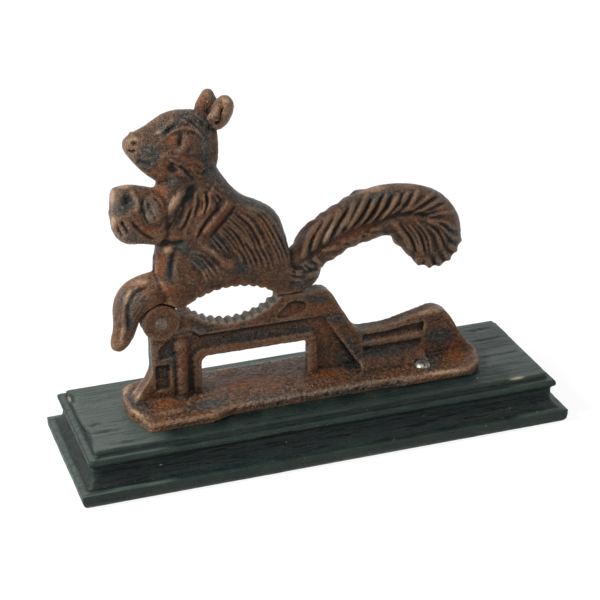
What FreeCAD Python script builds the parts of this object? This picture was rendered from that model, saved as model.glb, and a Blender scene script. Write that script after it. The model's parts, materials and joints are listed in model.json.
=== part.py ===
import FreeCAD, Part
import math
import os

import Sketcher
from FreeCAD import Placement, Rotation, Vector

# Lever nutcracker press: an iron squirrel is the lever, and its tail is the handle. Millimetres, +Z up.
# The origin is the middle of the plinth's underside. +X runs along the plinth towards the tail,
# and -Y is the side that faces the user.

PLINTH_SIZES = {
    "plinth_length": 280.0,
    "plinth_width": 93.0,
    "plinth_height": 28.5,
    "rim_height": 25.1,
    "rim_inset": 5.5,
    "rim_thickness": 3.8,
    "rim_round": 1.7,
    "plateau_inset": 9.8,
    "plateau_round": 0.8,
    "neck_inset": 7.8,
    "neck_slope": 0.6,
    "cove_radius": 7.0,
    "slab_height": 8.3,
    "slab_round": 4.2,
}

PIVOT_SIZES = {
    "pivot_x": -83.7,
    "pivot_z": 80.8,
    "rivet_radius": 3.2,
    "rivet_head_radius": 4.3,
    "rivet_head_height": 1.9,
    "rivet_fit": 0.04,
    "bore_clearance": 0.08,
    "boss_radius": 10.2,
    "boss_width": 10.0,
    "tongue_radius": 8.9,
    "tongue_width": 4.0,
    "running_gap": 0.3,
    "cheek_gap": 1.5,
    "slot_floor_gap": 0.5,
    "slot_front_angle": 33.0,
    "slot_rear_angle": 229.0,
}

FLANGE_SIZES = {
    "flange_thickness": 5.0,
    "flange_crown": 1.5,
    "flange_round": 1.4,
    "flange_left": 104.7,
    "flange_right": 101.4,
    "waist_half_width": 22.5,
    "left_ear_half_width": 27.2,
    "left_ear_outer": 97.5,
    "left_ear_inner": 61.0,
    "right_ear_half_width": 24.4,
    "right_ear_outer": 89.5,
    "right_ear_inner": 51.0,
    "ear_slope": 10.0,
    "ear_round": 6.0,
    "waist_round": 8.0,
    "end_round": 10.0,
    "end_bow_round": 20.0,
    "end_half_width": 18.0,
    "end_setback": 4.2,
    "nose_corner_round": 2.5,
    "crown_round": 60.0,
    "foot_overlap": 0.5,
}

FRAME_SIZES = {
    "web_thickness": 4.4,
    "rail_thickness": 8.4,
    "border_thickness": 6.4,
    "border_width": 4.6,
    "window_left": 61.5,
    "window_right": 0.3,
    "window_top": 56.0,
    "window_round": 3.6,
    "post_left": 89.6,
    "post_right": 77.8,
    "post_flare_reach": 12.9,
    "post_flare_height": 17.0,
    "post_flare_round": 15.0,
    "panel_depth": 1.2,
    "panel_left": 88.0,
    "panel_right": 80.0,
    "panel_low": 40.5,
    "panel_high": 55.5,
    "column_x": 73.3,
    "column_half_width": 4.8,
    "column_half_depth": 5.1,
    "column_head_height": 6.0,
    "column_head_spread": 0.8,
    "beam_depth": 5.6,
    "beam_start": 6.7,
    "beam_bend": 16.5,
    "beam_bend_end": 20.5,
    "neck_depth": 7.2,
    "stop_left": 32.7,
    "leaf_left": -19.5,
    "leaf_depth": 1.4,
    "stop_right": 11.2,
    "stop_round": 9.0,
    "ramp_left": 27.5,
    "ramp_low": 57.2,
    "ramp_bend": 46.0,
    "ramp_bend_round": 60.0,
    "rail_height": 3.1,
    "hump_left": 67.8,
    "hump_top_x": 79.4,
    "hump_top_z": 65.2,
    "hump_round": 12.0,
    "hump_foot_x": 98.6,
    "leg_inner_x": 7.7,
    "leg_foot_x": 31.3,
    "bead_height": 46.6,
    "bead_thickness": 4.6,
    "bead_half_width": 4.4,
    "root_half_width": 17.0,
    "root_round": 10.0,
}

JAW_SIZES = {
    "jaw_shoulder": 3.2,
    "lower_jaw_radius": 36.0,
    "lower_jaw_x": 40.7,
    "lower_jaw_depth": 5.4,
    "lower_jaw_heading": -88.5,
    "upper_jaw_radius": 44.6,
    "upper_jaw_x": 38.7,
    "upper_jaw_rise": 16.2,
    "upper_jaw_left": 13.9,
    "upper_jaw_right": 62.2,
    "tooth_pitch": 4.8,
    "tooth_depth": 1.8,
    "tooth_width": 4.2,
    "upper_tooth_depth": 1.1,
    "lower_teeth": 11,
    "upper_teeth": 9,
    "rump_seat": 5.3,
    "rump_x": 77.2,
    "rump_length": 14.0,
    "rump_breadth": 8.2,
    "rump_depth": 10.5,
    "seat_gap": 0.3,
}

SCREW_SIZES = {
    "front_screw_x": 64.0,
    "front_screw_y": -13.0,
    "rear_screw_x": -78.0,
    "rear_screw_y": 15.0,
    "screw_head_radius": 4.5,
    "screw_head_height": 2.4,
    "screw_shank_radius": 2.1,
    "screw_length": 22.0,
    "screw_clearance": 0.3,
    "seat_radius": 5.2,
    "seat_rise": 0.2,
    "driver_slot": 1.1,
    "driver_slot_depth": 1.1,
    "screw_point": 4.5,
    "screw_tip_radius": 0.5,
}

# Each row is one section of a limb: its middle ahead of and above the pivot, the heading of the limb
# in degrees from +X, and the section's width and thickness.
TORSO = [
    (39.7, 4.2, 90, 80.0, 13.5),
    (40.2, 13.2, 90, 82.0, 15.0),
    (37.7, 22.2, 90, 78.0, 17.0),
    (36.1, 32.2, 90, 73.7, 17.5),
    (35.1, 42.2, 90, 70.8, 17.5),
    (33.7, 50.2, 90, 68.0, 17.1),
    (31.2, 56.7, 90, 63.0, 16.7),
    (27.2, 61.2, 90, 55.0, 16.3),
    (23.2, 66.2, 90, 47.0, 16.0),
    (20.6, 73.2, 90, 39.7, 15.5),
    (19.0, 81.2, 90, 32.5, 15.5),
    (19.7, 89.2, 90, 28.0, 15.0),
]

HIND_LEG = [
    (4.7, 18.2, 180, 20.6, 14.0),
    (-3.8, 17.6, 184, 20.8, 15.4),
    (-11.6, 14.8, 205, 21.0, 16.0),
    (-16.9, 8.2, 242, 17.0, 14.4),
    (-18.3, 0.2, 262, 13.4, 11.0),
    (-20.3, -6.5, 256, 11.8, 8.8),
    (-23.0, -11.5, 245, 8.6, 8.0),
    (-24.6, -13.8, 240, 4.4, 3.4),
]

TAIL = [
    (74.7, 18.7, 42, 20.0, 12.5),
    (87.3, 28.8, 33, 21.0, 15.2),
    (100.3, 37.2, 22, 23.8, 16.0),
    (116.7, 43.6, 8, 27.6, 16.0),
    (134.2, 44.6, -9, 29.6, 16.0),
    (146.0, 39.7, -36, 35.0, 16.0),
    (155.7, 29.2, -60, 36.0, 15.5),
    (158.7, 18.7, -78, 30.0, 14.5),
    (158.3, 11.6, -86, 18.5, 11.0),
    (158.1, 8.8, -88, 8.0, 6.0),
]

HEAD = [
    (33.9, 96.1, 180, 23.0, 13.0),
    (29.7, 96.2, 180, 34.4, 18.0),
    (22.7, 95.7, 180, 39.0, 20.4),
    (13.7, 95.8, 180, 40.3, 21.0),
    (5.7, 95.7, 180, 37.0, 19.6),
    (-0.3, 95.7, 180, 30.1, 17.2),
    (-6.3, 97.2, 180, 21.5, 14.2),
    (-11.3, 99.1, 180, 12.8, 10.6),
    (-13.9, 100.2, 180, 6.8, 6.2),
    (-14.7, 100.2, 180, 3.0, 2.6),
]

FORELEGS = [
    (5.7, 61.2, 180, 26.0, 14.0),
    (-4.3, 60.9, 180, 31.3, 17.6),
    (-12.3, 62.6, 180, 32.5, 17.4),
    (-18.3, 63.4, 180, 30.0, 15.8),
    (-21.6, 64.0, 180, 23.5, 11.0),
    (-22.9, 64.2, 180, 15.0, 5.0),
]

# Rounded masses of the squirrel: middle ahead of, beside and above the pivot, then the three radii
# along X, Y and Z, and the lean in degrees that tips the mass forwards.
MASSES = {
    "haunch": (31.7, 0.0, 26.2, 24.0, 9.8, 14.0, 0),
    "shoulder": (23.7, 0.0, 57.2, 14.0, 9.8, 19.0, 38),
    "nut": (-1.9, 0.0, 64.2, 8.5, 10.6, 9.5, 0),
    "near_ear": (35.7, -6.2, 114.2, 5.4, 5.2, 9.4, 22),
    "far_ear": (30.9, 6.2, 114.2, 5.4, 5.2, 9.4, 14),
    "near_ear_hollow": (34.1, -12.4, 113.8, 2.4, 4.2, 6.6, 22),
    "far_ear_hollow": (29.6, 12.4, 113.8, 2.4, 4.2, 6.6, 14),
    "near_eye": (13.4, -9.4, 98.6, 4.2, 1.8, 2.9, 0),
    "far_eye": (13.4, 9.4, 98.6, 4.2, 1.8, 2.9, 0),
}


class Size:
    """A length that knows its value and the sheet expression that it comes from."""

    def __init__(self, value, text):
        self.value = float(value)
        self.text = text

    def __add__(self, other):
        other = asSize(other)
        return Size(self.value + other.value, f"({self.text} + {other.text})")

    def __sub__(self, other):
        other = asSize(other)
        return Size(self.value - other.value, f"({self.text} - {other.text})")

    def __mul__(self, factor):
        factor = asSize(factor)
        return Size(self.value * factor.value, f"({self.text} * {factor.text})")

    def __truediv__(self, divisor):
        divisor = asSize(divisor)
        return Size(self.value / divisor.value, f"({self.text} / {divisor.text})")

    def __neg__(self):
        return Size(-self.value, f"(0 - {self.text})")

    def __radd__(self, other):
        return asSize(other) + self

    def __rsub__(self, other):
        return asSize(other) - self

    def __rmul__(self, other):
        return asSize(other) * self


def asSize(number):
    """Gives plain numbers the same form as the named sizes."""
    if isinstance(number, Size):
        return number
    return Size(number, repr(float(number)))


class Sizes:
    """The named sizes of the document's spreadsheet, read as attributes."""

    def __init__(self, document, groups):
        self.sheet = document.addObject("Spreadsheet::Sheet", "Sizes")
        self.row = 0
        for group in groups:
            for name, value in group.items():
                self.addCell(name, value)

    def addCell(self, name, value):
        self.row += 1
        self.sheet.set(f"A{self.row}", name)
        self.sheet.set(f"B{self.row}", str(value))
        self.sheet.setAlias(f"B{self.row}", name)
        size = Size(value, f"Sizes.{name}")
        setattr(self, name, size)
        return size

    def addRow(self, name, columns, values):
        """Stores a row of related sizes, such as limb_2_width, and returns them in order."""
        return [self.addCell(f"{name}_{column}", value) for column, value in zip(columns, values)]


doc = FreeCAD.newDocument("nutcracker")
size = Sizes(doc, [PLINTH_SIZES, PIVOT_SIZES, FLANGE_SIZES, FRAME_SIZES, JAW_SIZES, SCREW_SIZES])
doc.recompute()


def bind(thing, path, amount):
    """Ties a property to the sheet."""
    thing.setExpression(path, asSize(amount).text)


def newBody(label):
    body = doc.addObject("PartDesign::Body", label)
    body.Label = label
    body.Placement = Placement()
    return body


def originPlane(body, role):
    return next(item for item in body.Origin.OriginFeatures if item.Role == role)


def newSketch(body, name, role="XZ_Plane", shift=(0, 0, 0), turn=None):
    """An empty sketch on one of the body's own planes, moved by shift in the sketch's own axes."""
    sketch = body.newObject("Sketcher::SketchObject", name)
    sketch.AttachmentSupport = [(originPlane(body, role), "")]
    sketch.MapMode = "FlatFace"
    moves = [asSize(step) for step in shift]
    rotation = turn if turn is not None else Rotation()
    sketch.AttachmentOffset = Placement(Vector(*[step.value for step in moves]), rotation)
    for axis, step in zip("xyz", moves):
        bind(sketch, f"AttachmentOffset.Base.{axis}", step)
    return sketch


def fixPoint(sketch, geometry, end, x, y):
    """Holds one end of a sketch line or arc at named coordinates."""
    for kind, amount in (("DistanceX", asSize(x)), ("DistanceY", asSize(y))):
        index = sketch.addConstraint(Sketcher.Constraint(kind, -1, 1, geometry, end, amount.value))
        sketch.setExpression(f"Constraints[{index}]", amount.text)


def cornerArc(spot, back, ahead, radius):
    """The tangent arc at a corner, its two ends along the outline, and which end of the arc comes first."""
    half = back.getAngle(ahead) / 2
    reach = radius / math.tan(half)
    first = spot + back * reach
    last = spot + ahead * reach
    centre = spot + (back + ahead).normalize() * (radius / math.sin(half))
    turnsLeft = back.cross(ahead).z < 0
    begin, end = (first, last) if turnsLeft else (last, first)
    startAngle = math.atan2(begin.y - centre.y, begin.x - centre.x)
    endAngle = math.atan2(end.y - centre.y, end.x - centre.x)
    if endAngle < startAngle:
        endAngle += 2 * math.pi
    ring = Part.Circle(centre, Vector(0, 0, 1), radius)
    return Part.ArcOfCircle(ring, startAngle, endAngle), first, last, 1 if turnsLeft else 2


def outline(sketch, corners):
    """A closed outline through corners (x, y) or (x, y, radius), each radius a tangent arc."""
    spots = [Vector(asSize(corner[0]).value, asSize(corner[1]).value, 0) for corner in corners]
    count = len(corners)
    starts = list(spots)
    ends = list(spots)
    arcs = {}
    for i, corner in enumerate(corners):
        if len(corner) < 3:
            continue
        back = (spots[i - 1] - spots[i]).normalize()
        ahead = (spots[(i + 1) % count] - spots[i]).normalize()
        arc, ends[i], starts[i], arcStart = cornerArc(spots[i], back, ahead, asSize(corner[2]).value)
        arcs[i] = (arc, arcStart)
    lines = []
    for i in range(count):
        lines.append(sketch.addGeometry(Part.LineSegment(starts[i], ends[(i + 1) % count])))
    for i, corner in enumerate(corners):
        before = lines[i - 1]
        after = lines[i]
        if i not in arcs:
            sketch.addConstraint(Sketcher.Constraint("Coincident", before, 2, after, 1))
            fixPoint(sketch, after, 1, corner[0], corner[1])
            continue
        shape, arcStart = arcs[i]
        radius = asSize(corner[2])
        arc = sketch.addGeometry(shape)
        sketch.addConstraint(Sketcher.Constraint("Tangent", before, 2, arc, arcStart))
        sketch.addConstraint(Sketcher.Constraint("Tangent", arc, 3 - arcStart, after, 1))
        index = sketch.addConstraint(Sketcher.Constraint("Radius", arc, radius.value))
        sketch.setExpression(f"Constraints[{index}]", radius.text)
        middle = sketch.addGeometry(Part.Point(spots[i]), True)
        fixPoint(sketch, middle, 1, corner[0], corner[1])
        sketch.addConstraint(Sketcher.Constraint("PointOnObject", middle, 1, before))
        sketch.addConstraint(Sketcher.Constraint("PointOnObject", middle, 1, after))


def circle(sketch, x, y, radius):
    x, y, radius = asSize(x), asSize(y), asSize(radius)
    ring = sketch.addGeometry(Part.Circle(Vector(x.value, y.value, 0), Vector(0, 0, 1), radius.value))
    fixPoint(sketch, ring, 3, x, y)
    index = sketch.addConstraint(Sketcher.Constraint("Radius", ring, radius.value))
    sketch.setExpression(f"Constraints[{index}]", radius.text)


def slotSection(sketch, width, thickness):
    """A slot about the sketch's origin: straight sides with half-round ends."""
    width, thickness = asSize(width), asSize(thickness)
    radius = thickness / 2
    reach = width / 2 - radius
    top = Vector(0, radius.value, 0)
    side = Vector(reach.value, 0, 0)
    bulge = Vector(radius.value, 0, 0)
    right = sketch.addGeometry(Part.Arc(side - top, side + bulge, side + top))
    above = sketch.addGeometry(Part.LineSegment(side + top, top - side))
    left = sketch.addGeometry(Part.Arc(top - side, Vector() - side - bulge, Vector() - side - top))
    below = sketch.addGeometry(Part.LineSegment(Vector() - side - top, side - top))
    for before, after in ((right, above), (above, left), (left, below), (below, right)):
        sketch.addConstraint(Sketcher.Constraint("Tangent", before, 2, after, 1))
    sketch.addConstraint(Sketcher.Constraint("PointOnObject", right, 3, -1))
    sketch.addConstraint(Sketcher.Constraint("Symmetric", right, 3, left, 3, -1, 1))
    sketch.addConstraint(Sketcher.Constraint("Equal", right, left))
    index = sketch.addConstraint(Sketcher.Constraint("Radius", right, radius.value))
    sketch.setExpression(f"Constraints[{index}]", radius.text)
    index = sketch.addConstraint(Sketcher.Constraint("DistanceX", -1, 1, right, 3, reach.value))
    sketch.setExpression(f"Constraints[{index}]", reach.text)


def ovalSection(sketch, width, thickness):
    """An ellipse about the sketch's origin, longer along the sketch's first axis."""
    width, thickness = asSize(width), asSize(thickness)
    reach = Vector(width.value / 2, 0, 0)
    top = Vector(0, thickness.value / 2, 0)
    sketch.addGeometry(Part.Ellipse(reach, top, Vector()))
    sketch.exposeInternalGeometry(0)
    sketch.addConstraint(Sketcher.Constraint("Coincident", 0, 3, -1, 1))
    sketch.addConstraint(Sketcher.Constraint("Horizontal", 1))
    for line, amount in ((1, width), (2, thickness)):
        index = sketch.addConstraint(Sketcher.Constraint("Distance", line, amount.value))
        sketch.setExpression(f"Constraints[{index}]", amount.text)


def pad(body, name, sketch, length, side="Symmetric", reversed=False):
    feature = body.newObject("PartDesign::Pad", name)
    feature.Profile = sketch
    feature.SideType = side
    feature.Reversed = reversed
    feature.Refine = False
    bind(feature, "Length", length)
    body.Tip = feature
    return feature


def pocket(body, name, sketch, length=None, side="One side", reversed=False):
    """Cuts a sketch out of the body, all the way through where no length is given."""
    feature = body.newObject("PartDesign::Pocket", name)
    feature.Profile = sketch
    feature.SideType = side
    feature.Reversed = reversed
    feature.Refine = False
    if length is None:
        feature.Type = "ThroughAll"
    else:
        bind(feature, "Length", length)
    body.Tip = feature
    return feature


def mirrored(body, name, features):
    """Repeats features on the other side of the casting's middle plane."""
    feature = body.newObject("PartDesign::Mirrored", name)
    feature.Originals = features
    feature.MirrorPlane = (originPlane(body, "XZ_Plane"), [""])
    feature.Refine = False
    body.Tip = feature
    return feature


def fillet(body, name, radius, chosen):
    """Rounds the edges of the body's present shape that chosen accepts."""
    base = body.Tip
    base.Refine = True
    doc.recompute()
    names = [f"Edge{i + 1}" for i, edge in enumerate(base.Shape.Edges) if chosen(edge)]
    if not names:
        raise RuntimeError(f"{name} found no edge")
    feature = body.newObject("PartDesign::Fillet", name)
    feature.Base = (base, names)
    bind(feature, "Radius", radius)
    feature.Refine = True
    body.Tip = feature
    return feature


def makeWoodenBase():
    """The plinth: a slab with a rounded edge, a cove, a rim and a raised plateau, cut on all four sides."""
    body = newBody("wooden_base")

    def edgeProfile(half):
        rimUnderside = size.rim_height - size.rim_thickness
        return [
            (half, 0, size.slab_round),
            (half, size.slab_height),
            (half - size.neck_inset, size.slab_height + size.neck_slope, size.cove_radius),
            (half - size.neck_inset, rimUnderside),
            (half - size.rim_inset, rimUnderside, size.rim_round),
            (half - size.rim_inset, size.rim_height, size.rim_round),
            (half - size.plateau_inset, size.rim_height),
            (half - size.plateau_inset, size.plinth_height, size.plateau_round),
        ]

    halfWidth = size.plinth_width / 2
    right = edgeProfile(halfWidth)
    left = [(-corner[0],) + corner[1:] for corner in reversed(right)]
    section = newSketch(body, "plinth_section", "YZ_Plane")
    outline(section, right + left)
    pad(body, "plinth_bar", section, size.plinth_length)

    halfLength = size.plinth_length / 2
    clear = 5
    outside = halfLength + clear
    inside = halfLength - size.slab_round - 1
    shoulder = halfLength - size.plateau_inset - 3
    for name, sign in (("tail_end", 1), ("nose_end", -1)):
        waste = newSketch(body, f"{name}_profile", "XZ_Plane")
        corners = [(sign * corner[0],) + corner[1:] for corner in edgeProfile(halfLength)]
        corners = [(sign * inside, 0)] + corners + [
            (sign * shoulder, size.plinth_height),
            (sign * shoulder, size.plinth_height + clear),
            (sign * outside, size.plinth_height + clear),
            (sign * outside, -clear),
            (sign * inside, -clear),
        ]
        outline(waste, corners)
        pocket(body, f"{name}_moulding", waste, size.plinth_width + 2 * clear, "Symmetric")

    holes = newSketch(body, "pilot_hole_places", "XY_Plane", (0, 0, size.plinth_height))
    for x, y in screwPlaces():
        circle(holes, x, y, size.screw_shank_radius + size.rivet_fit)
    pocket(body, "pilot_holes", holes, size.screw_length - size.flange_thickness)
    return body


def screwPlaces():
    return [(size.front_screw_x, size.front_screw_y), (size.rear_screw_x, size.rear_screw_y)]


def flangeTop():
    return size.plinth_height + size.flange_thickness


def frameFoot():
    """Where posts and ribs stop, just inside the flange."""
    return flangeTop() - size.foot_overlap


def stopTop():
    return size.pivot_z + size.rump_seat - size.seat_gap


def lowerJawCentre():
    return size.pivot_x + size.lower_jaw_x, size.pivot_z - size.lower_jaw_depth + size.lower_jaw_radius


def addFlange(body):
    """The foot flange: a waisted plate with ears at both ends and a crowned top."""
    plan = newSketch(body, "flange_plan", "XY_Plane", (0, 0, size.plinth_height))
    waist = size.waist_half_width
    leftEar = size.left_ear_half_width
    rightEar = size.right_ear_half_width
    end = size.flange_right - size.end_setback
    ear = size.ear_round
    outline(plan, [
        (-size.left_ear_outer, -leftEar, size.nose_corner_round),
        (-size.left_ear_inner, -leftEar, ear),
        (size.ear_slope - size.left_ear_inner, -waist, size.waist_round),
        (size.right_ear_inner - size.ear_slope, -waist, size.waist_round),
        (size.right_ear_inner, -rightEar, ear),
        (size.right_ear_outer, -rightEar, ear),
        (end, -size.end_half_width, size.end_round),
        (size.flange_right, 0, size.end_bow_round),
        (end, size.end_half_width, size.end_round),
        (size.right_ear_outer, rightEar, ear),
        (size.right_ear_inner, rightEar, ear),
        (size.right_ear_inner - size.ear_slope, waist, size.waist_round),
        (size.ear_slope - size.left_ear_inner, waist, size.waist_round),
        (-size.left_ear_inner, leftEar, ear),
        (11.5 - size.left_ear_outer, leftEar, 4),
        (-size.left_ear_outer - 3.5, 21, size.waist_round),
        (-size.flange_left, 4, size.end_round),
        (-size.flange_left, -7, size.end_round),
    ])
    pad(body, "flange_plate", plan, size.flange_thickness + size.flange_crown, "One side")

    waste = newSketch(body, "crown_section", "YZ_Plane")
    ridge = flangeTop() + size.flange_crown + 0.2
    eaves = flangeTop() - size.flange_crown - 0.2
    outline(waste, [
        (-2 * waist, eaves),
        (0, ridge, size.crown_round),
        (2 * waist, eaves),
        (2 * waist, ridge + 10),
        (-2 * waist, ridge + 10),
    ])
    pocket(body, "flange_crown_cut", waste, 3 * size.flange_right, "Symmetric")
    low = (flangeTop() - 2).value

    def isTopRim(edge):
        box = edge.BoundBox
        return box.ZMin > low and not (box.YMin > -1 and box.YMax < 1)

    fillet(body, "flange_rounding", size.flange_round, isTopRim)


def addPost(body):
    """The post under the pivot, with its flared foot, sunk panel, column and pivot boss."""
    side = newSketch(body, "post_side")
    outline(side, [
        (-size.post_left - size.post_flare_reach, frameFoot()),
        (-size.post_left, frameFoot() + size.post_flare_height, size.post_flare_round),
        (-size.post_left, size.pivot_z),
        (-size.post_right, size.pivot_z),
        (-size.post_right, frameFoot()),
    ])
    pad(body, "post", side, size.rail_thickness)
    boss = newSketch(body, "boss_face")
    circle(boss, size.pivot_x, size.pivot_z, size.boss_radius)
    pad(body, "pivot_boss", boss, size.boss_width)


def addRails(body):
    """The thick upper outline: jaw beam, stop block, sloping leg, ramp rail and hump, in one pad."""
    shoulder = size.pivot_z + size.jaw_shoulder
    beamLow = size.pivot_z - size.lower_jaw_depth - size.beam_depth
    foot = frameFoot()
    side = newSketch(body, "rail_side")
    outline(side, [
        (size.pivot_x + size.beam_start, shoulder),
        (size.pivot_x + size.stop_left, shoulder),
        (size.pivot_x + size.stop_left, stopTop()),
        (size.stop_right, stopTop(), size.stop_round),
        (size.ramp_left, size.ramp_low, 10),
        (size.ramp_bend, size.ramp_low, size.ramp_bend_round),
        (size.hump_top_x, size.hump_top_z, size.hump_round),
        (size.hump_foot_x, foot),
        (size.hump_left - 2.5, foot),
        (size.hump_left + 0.6, size.ramp_low - size.rail_height),
        (size.hump_left, size.ramp_low - 0.5),
        (size.ramp_bend, size.ramp_low - size.rail_height, size.ramp_bend_round),
        (size.leg_foot_x, size.ramp_low - size.rail_height),
        (size.leg_foot_x, foot),
        (size.leg_inner_x, beamLow, 3),
        (size.pivot_x + size.beam_bend_end, beamLow, 3),
        (size.pivot_x + size.beam_bend, size.pivot_z - size.neck_depth, 2),
        (size.pivot_x + 4, size.pivot_z - size.neck_depth),
    ])
    pad(body, "rails", side, size.rail_thickness)


def addWindow(body):
    """The thin web and the raised border round its open window."""
    foot = frameFoot()
    beamLow = size.pivot_z - size.lower_jaw_depth - size.beam_depth
    web = newSketch(body, "web_side")
    underRail = size.ramp_low - size.rail_height / 2
    inPost = -size.post_right - 4
    inHump = size.hump_left + 6
    outline(web, [
        (inPost, foot - 1),
        (inHump, foot - 1),
        (inHump, underRail),
        (size.leg_foot_x - 3, underRail),
        (size.leg_inner_x, beamLow + 1.5),
        (inPost, beamLow + 1.5),
    ])
    half = size.border_width / 2
    outline(web, [
        (-size.window_left - half, foot - 0.6),
        (-size.window_right + half, foot - 0.6),
        (-size.window_right + half, size.window_top + half),
        (-size.window_left - half, size.window_top + half),
    ])
    pad(body, "web", web, size.web_thickness)
    border = newSketch(body, "border_side")
    wide = size.border_width
    outline(border, [
        (-size.window_left - wide, foot),
        (-size.window_left, foot),
        (-size.window_left, size.window_top, size.window_round),
        (-size.window_right, size.window_top, size.window_round),
        (-size.window_right, foot),
        (-size.window_right + wide, foot),
        (-size.window_right + wide, size.window_top + wide, size.window_round + 2),
        (-size.window_left - wide, size.window_top + wide, size.window_round + 2),
    ])
    pad(body, "window_border", border, size.border_thickness)


def addRampRoot(body):
    """Under the ramp: a bead on the web, then a hollow curve that spreads into the flange."""
    section = newSketch(body, "root_section", "YZ_Plane", (0, 0, size.leg_foot_x - 2))
    top = size.bead_height + size.bead_thickness
    spread = flangeTop() + size.flange_crown
    right = [
        (size.root_half_width, frameFoot()),
        (size.root_half_width, spread - 1.3),
        (size.bead_half_width - 0.4, spread - 0.5, size.root_round),
        (size.bead_half_width - 1, size.bead_height - 0.4),
        (size.bead_half_width, size.bead_height),
        (size.bead_half_width, top - 2),
        (size.web_thickness / 2 - 0.3, top + 1.5),
    ]
    left = [(-corner[0],) + corner[1:] for corner in reversed(right)]
    outline(section, right + left)
    pad(body, "ramp_root", section, size.hump_left - size.leg_foot_x + 3, "One side")


def addColumn(body):
    """The rounded column beside the window, with a domed head in a niche of the boss."""
    niche = newSketch(body, "niche_side", "XZ_Plane", (0, 0, size.boss_width / 2))
    nicheLeft = size.pivot_x - 2.4
    nicheRight = size.pivot_x + 18
    nicheTop = size.pivot_z - size.neck_depth
    nicheLow = size.pivot_z - 22
    outline(niche, [
        (nicheLeft, nicheLow),
        (nicheLeft, nicheLow + 6, 2),
        (size.pivot_x + 8, nicheTop, 5),
        (size.pivot_x + 15.5, nicheTop, 3),
        (nicheRight, nicheTop - 3.8),
        (nicheRight, nicheLow),
    ])
    near = pocket(body, "near_niche", niche, size.boss_width / 2 - size.border_thickness / 2)
    mirrored(body, "far_niche", [near])
    plan = newSketch(body, "column_plan", "XY_Plane", (-size.column_x, 0, frameFoot()), Rotation(90, 0, 0))
    ovalSection(plan, 2 * size.column_half_depth, 2 * size.column_half_width)
    headHeight = size.pivot_z - size.boss_radius - size.column_head_height
    pad(body, "column", plan, headHeight - frameFoot(), "One side")
    spread = size.column_head_spread
    ellipsoid(
        body,
        "column_head",
        (-size.column_x, 0, headHeight),
        (size.column_half_width + spread, size.column_half_depth + 0.6 * spread, size.column_head_height),
    )


def cutPanels(body):
    """Sunk panels on both faces of the post and leaf-shaped hollows on the stop block."""
    face = size.rail_thickness / 2
    panel = newSketch(body, "post_panel_side", "XZ_Plane", (0, 0, face))
    outline(panel, [
        (-size.panel_left, size.panel_low, 1),
        (-size.panel_right, size.panel_low, 1),
        (-size.panel_right, size.panel_high, 1),
        (-size.panel_left, size.panel_high, 1),
    ])
    nearPanel = pocket(body, "near_post_panel", panel, size.panel_depth)
    leaf = newSketch(body, "leaf_side", "XZ_Plane", (0, 0, face))
    outline(leaf, [
        (size.leaf_left, stopTop() - 12.4),
        (size.leaf_left + 9, stopTop() - 3.6, 7),
        (size.leaf_left + 17.6, stopTop() - 5.8, 3),
        (size.leaf_left + 17.6, stopTop() - 11, 2.6),
        (size.leaf_left + 5, stopTop() - 13.6, 8),
    ])
    nearLeaf = pocket(body, "near_leaf", leaf, size.leaf_depth)
    mirrored(body, "far_panels", [nearPanel, nearLeaf])


def cutTeeth(body, name, centre, radius, depth, width, middle, pitch, count):
    """V-shaped grooves across a jaw, spaced by the pitch along its arc. Middle is their mean direction."""
    pitchAngle = math.degrees(pitch.value / radius.value)
    first = middle - pitchAngle * (count - 1) / 2
    groove = newSketch(body, f"{name}_groove", "XZ_Plane", (centre[0], centre[1], 0), Rotation(first, 0, 0))
    outline(groove, [
        (radius - 0.8, width * 0.6),
        (radius - 0.8, width * -0.6),
        (radius + depth, 0),
    ])
    cut = pocket(body, f"{name}_first_groove", groove, size.boss_width + 8, "Symmetric")
    pattern = body.newObject("PartDesign::PolarPattern", f"{name}_grooves")
    pattern.Originals = [cut]
    pattern.Axis = (groove, ["N_Axis"])
    pattern.Mode = "Spacing"
    pattern.Offset = pitchAngle
    pattern.Occurrences = count
    pattern.Refine = False
    body.Tip = pattern
    return pattern


def cutLowerJaw(body):
    x, z = lowerJawCentre()
    bowl = newSketch(body, "lower_jaw_bowl")
    circle(bowl, x, z, size.lower_jaw_radius)
    pocket(body, "lower_jaw_hollow", bowl, size.boss_width, "Symmetric")
    cutTeeth(
        body, "lower_jaw", (x, z), size.lower_jaw_radius, size.tooth_depth, size.tooth_width,
        size.lower_jaw_heading.value, size.tooth_pitch, int(size.lower_teeth.value),
    )


def cutClevis(body):
    """The slot for the lever's tongue between the cheeks, and the rivet's bore."""
    width = size.tongue_width + 2 * size.running_gap
    floor = newSketch(body, "slot_floor_side")
    circle(floor, size.pivot_x, size.pivot_z, size.tongue_radius + size.slot_floor_gap)
    pocket(body, "slot_floor", floor, width, "Symmetric")
    mouth = newSketch(body, "slot_mouth_side")
    corners = [(size.pivot_x, size.pivot_z)]
    reach = size.boss_radius.value + 8
    front = size.slot_front_angle.value
    rear = size.slot_rear_angle.value
    for angle in (front, 75, 120, 180, rear):
        turn = math.radians(angle)
        corners.append((size.pivot_x + reach * math.cos(turn), size.pivot_z + reach * math.sin(turn)))
    outline(mouth, corners)
    pocket(body, "slot_mouth", mouth, width, "Symmetric")
    bore = newSketch(body, "cheek_bore_side")
    circle(bore, size.pivot_x, size.pivot_z, size.rivet_radius + size.rivet_fit)
    pocket(body, "cheek_bores", bore, size.boss_width + 4, "Symmetric")


def cutScrewHoles(body):
    seats = newSketch(body, "screw_seat_places", "XY_Plane", (0, 0, screwSeat()))
    holes = newSketch(body, "screw_hole_places", "XY_Plane", (0, 0, screwSeat()))
    for x, y in screwPlaces():
        circle(seats, x, y, size.seat_radius)
        circle(holes, x, y, size.screw_shank_radius + size.screw_clearance)
    pocket(body, "screw_seats", seats, 12, reversed=True)
    pocket(body, "screw_holes", holes, 2 * size.flange_thickness)


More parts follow.
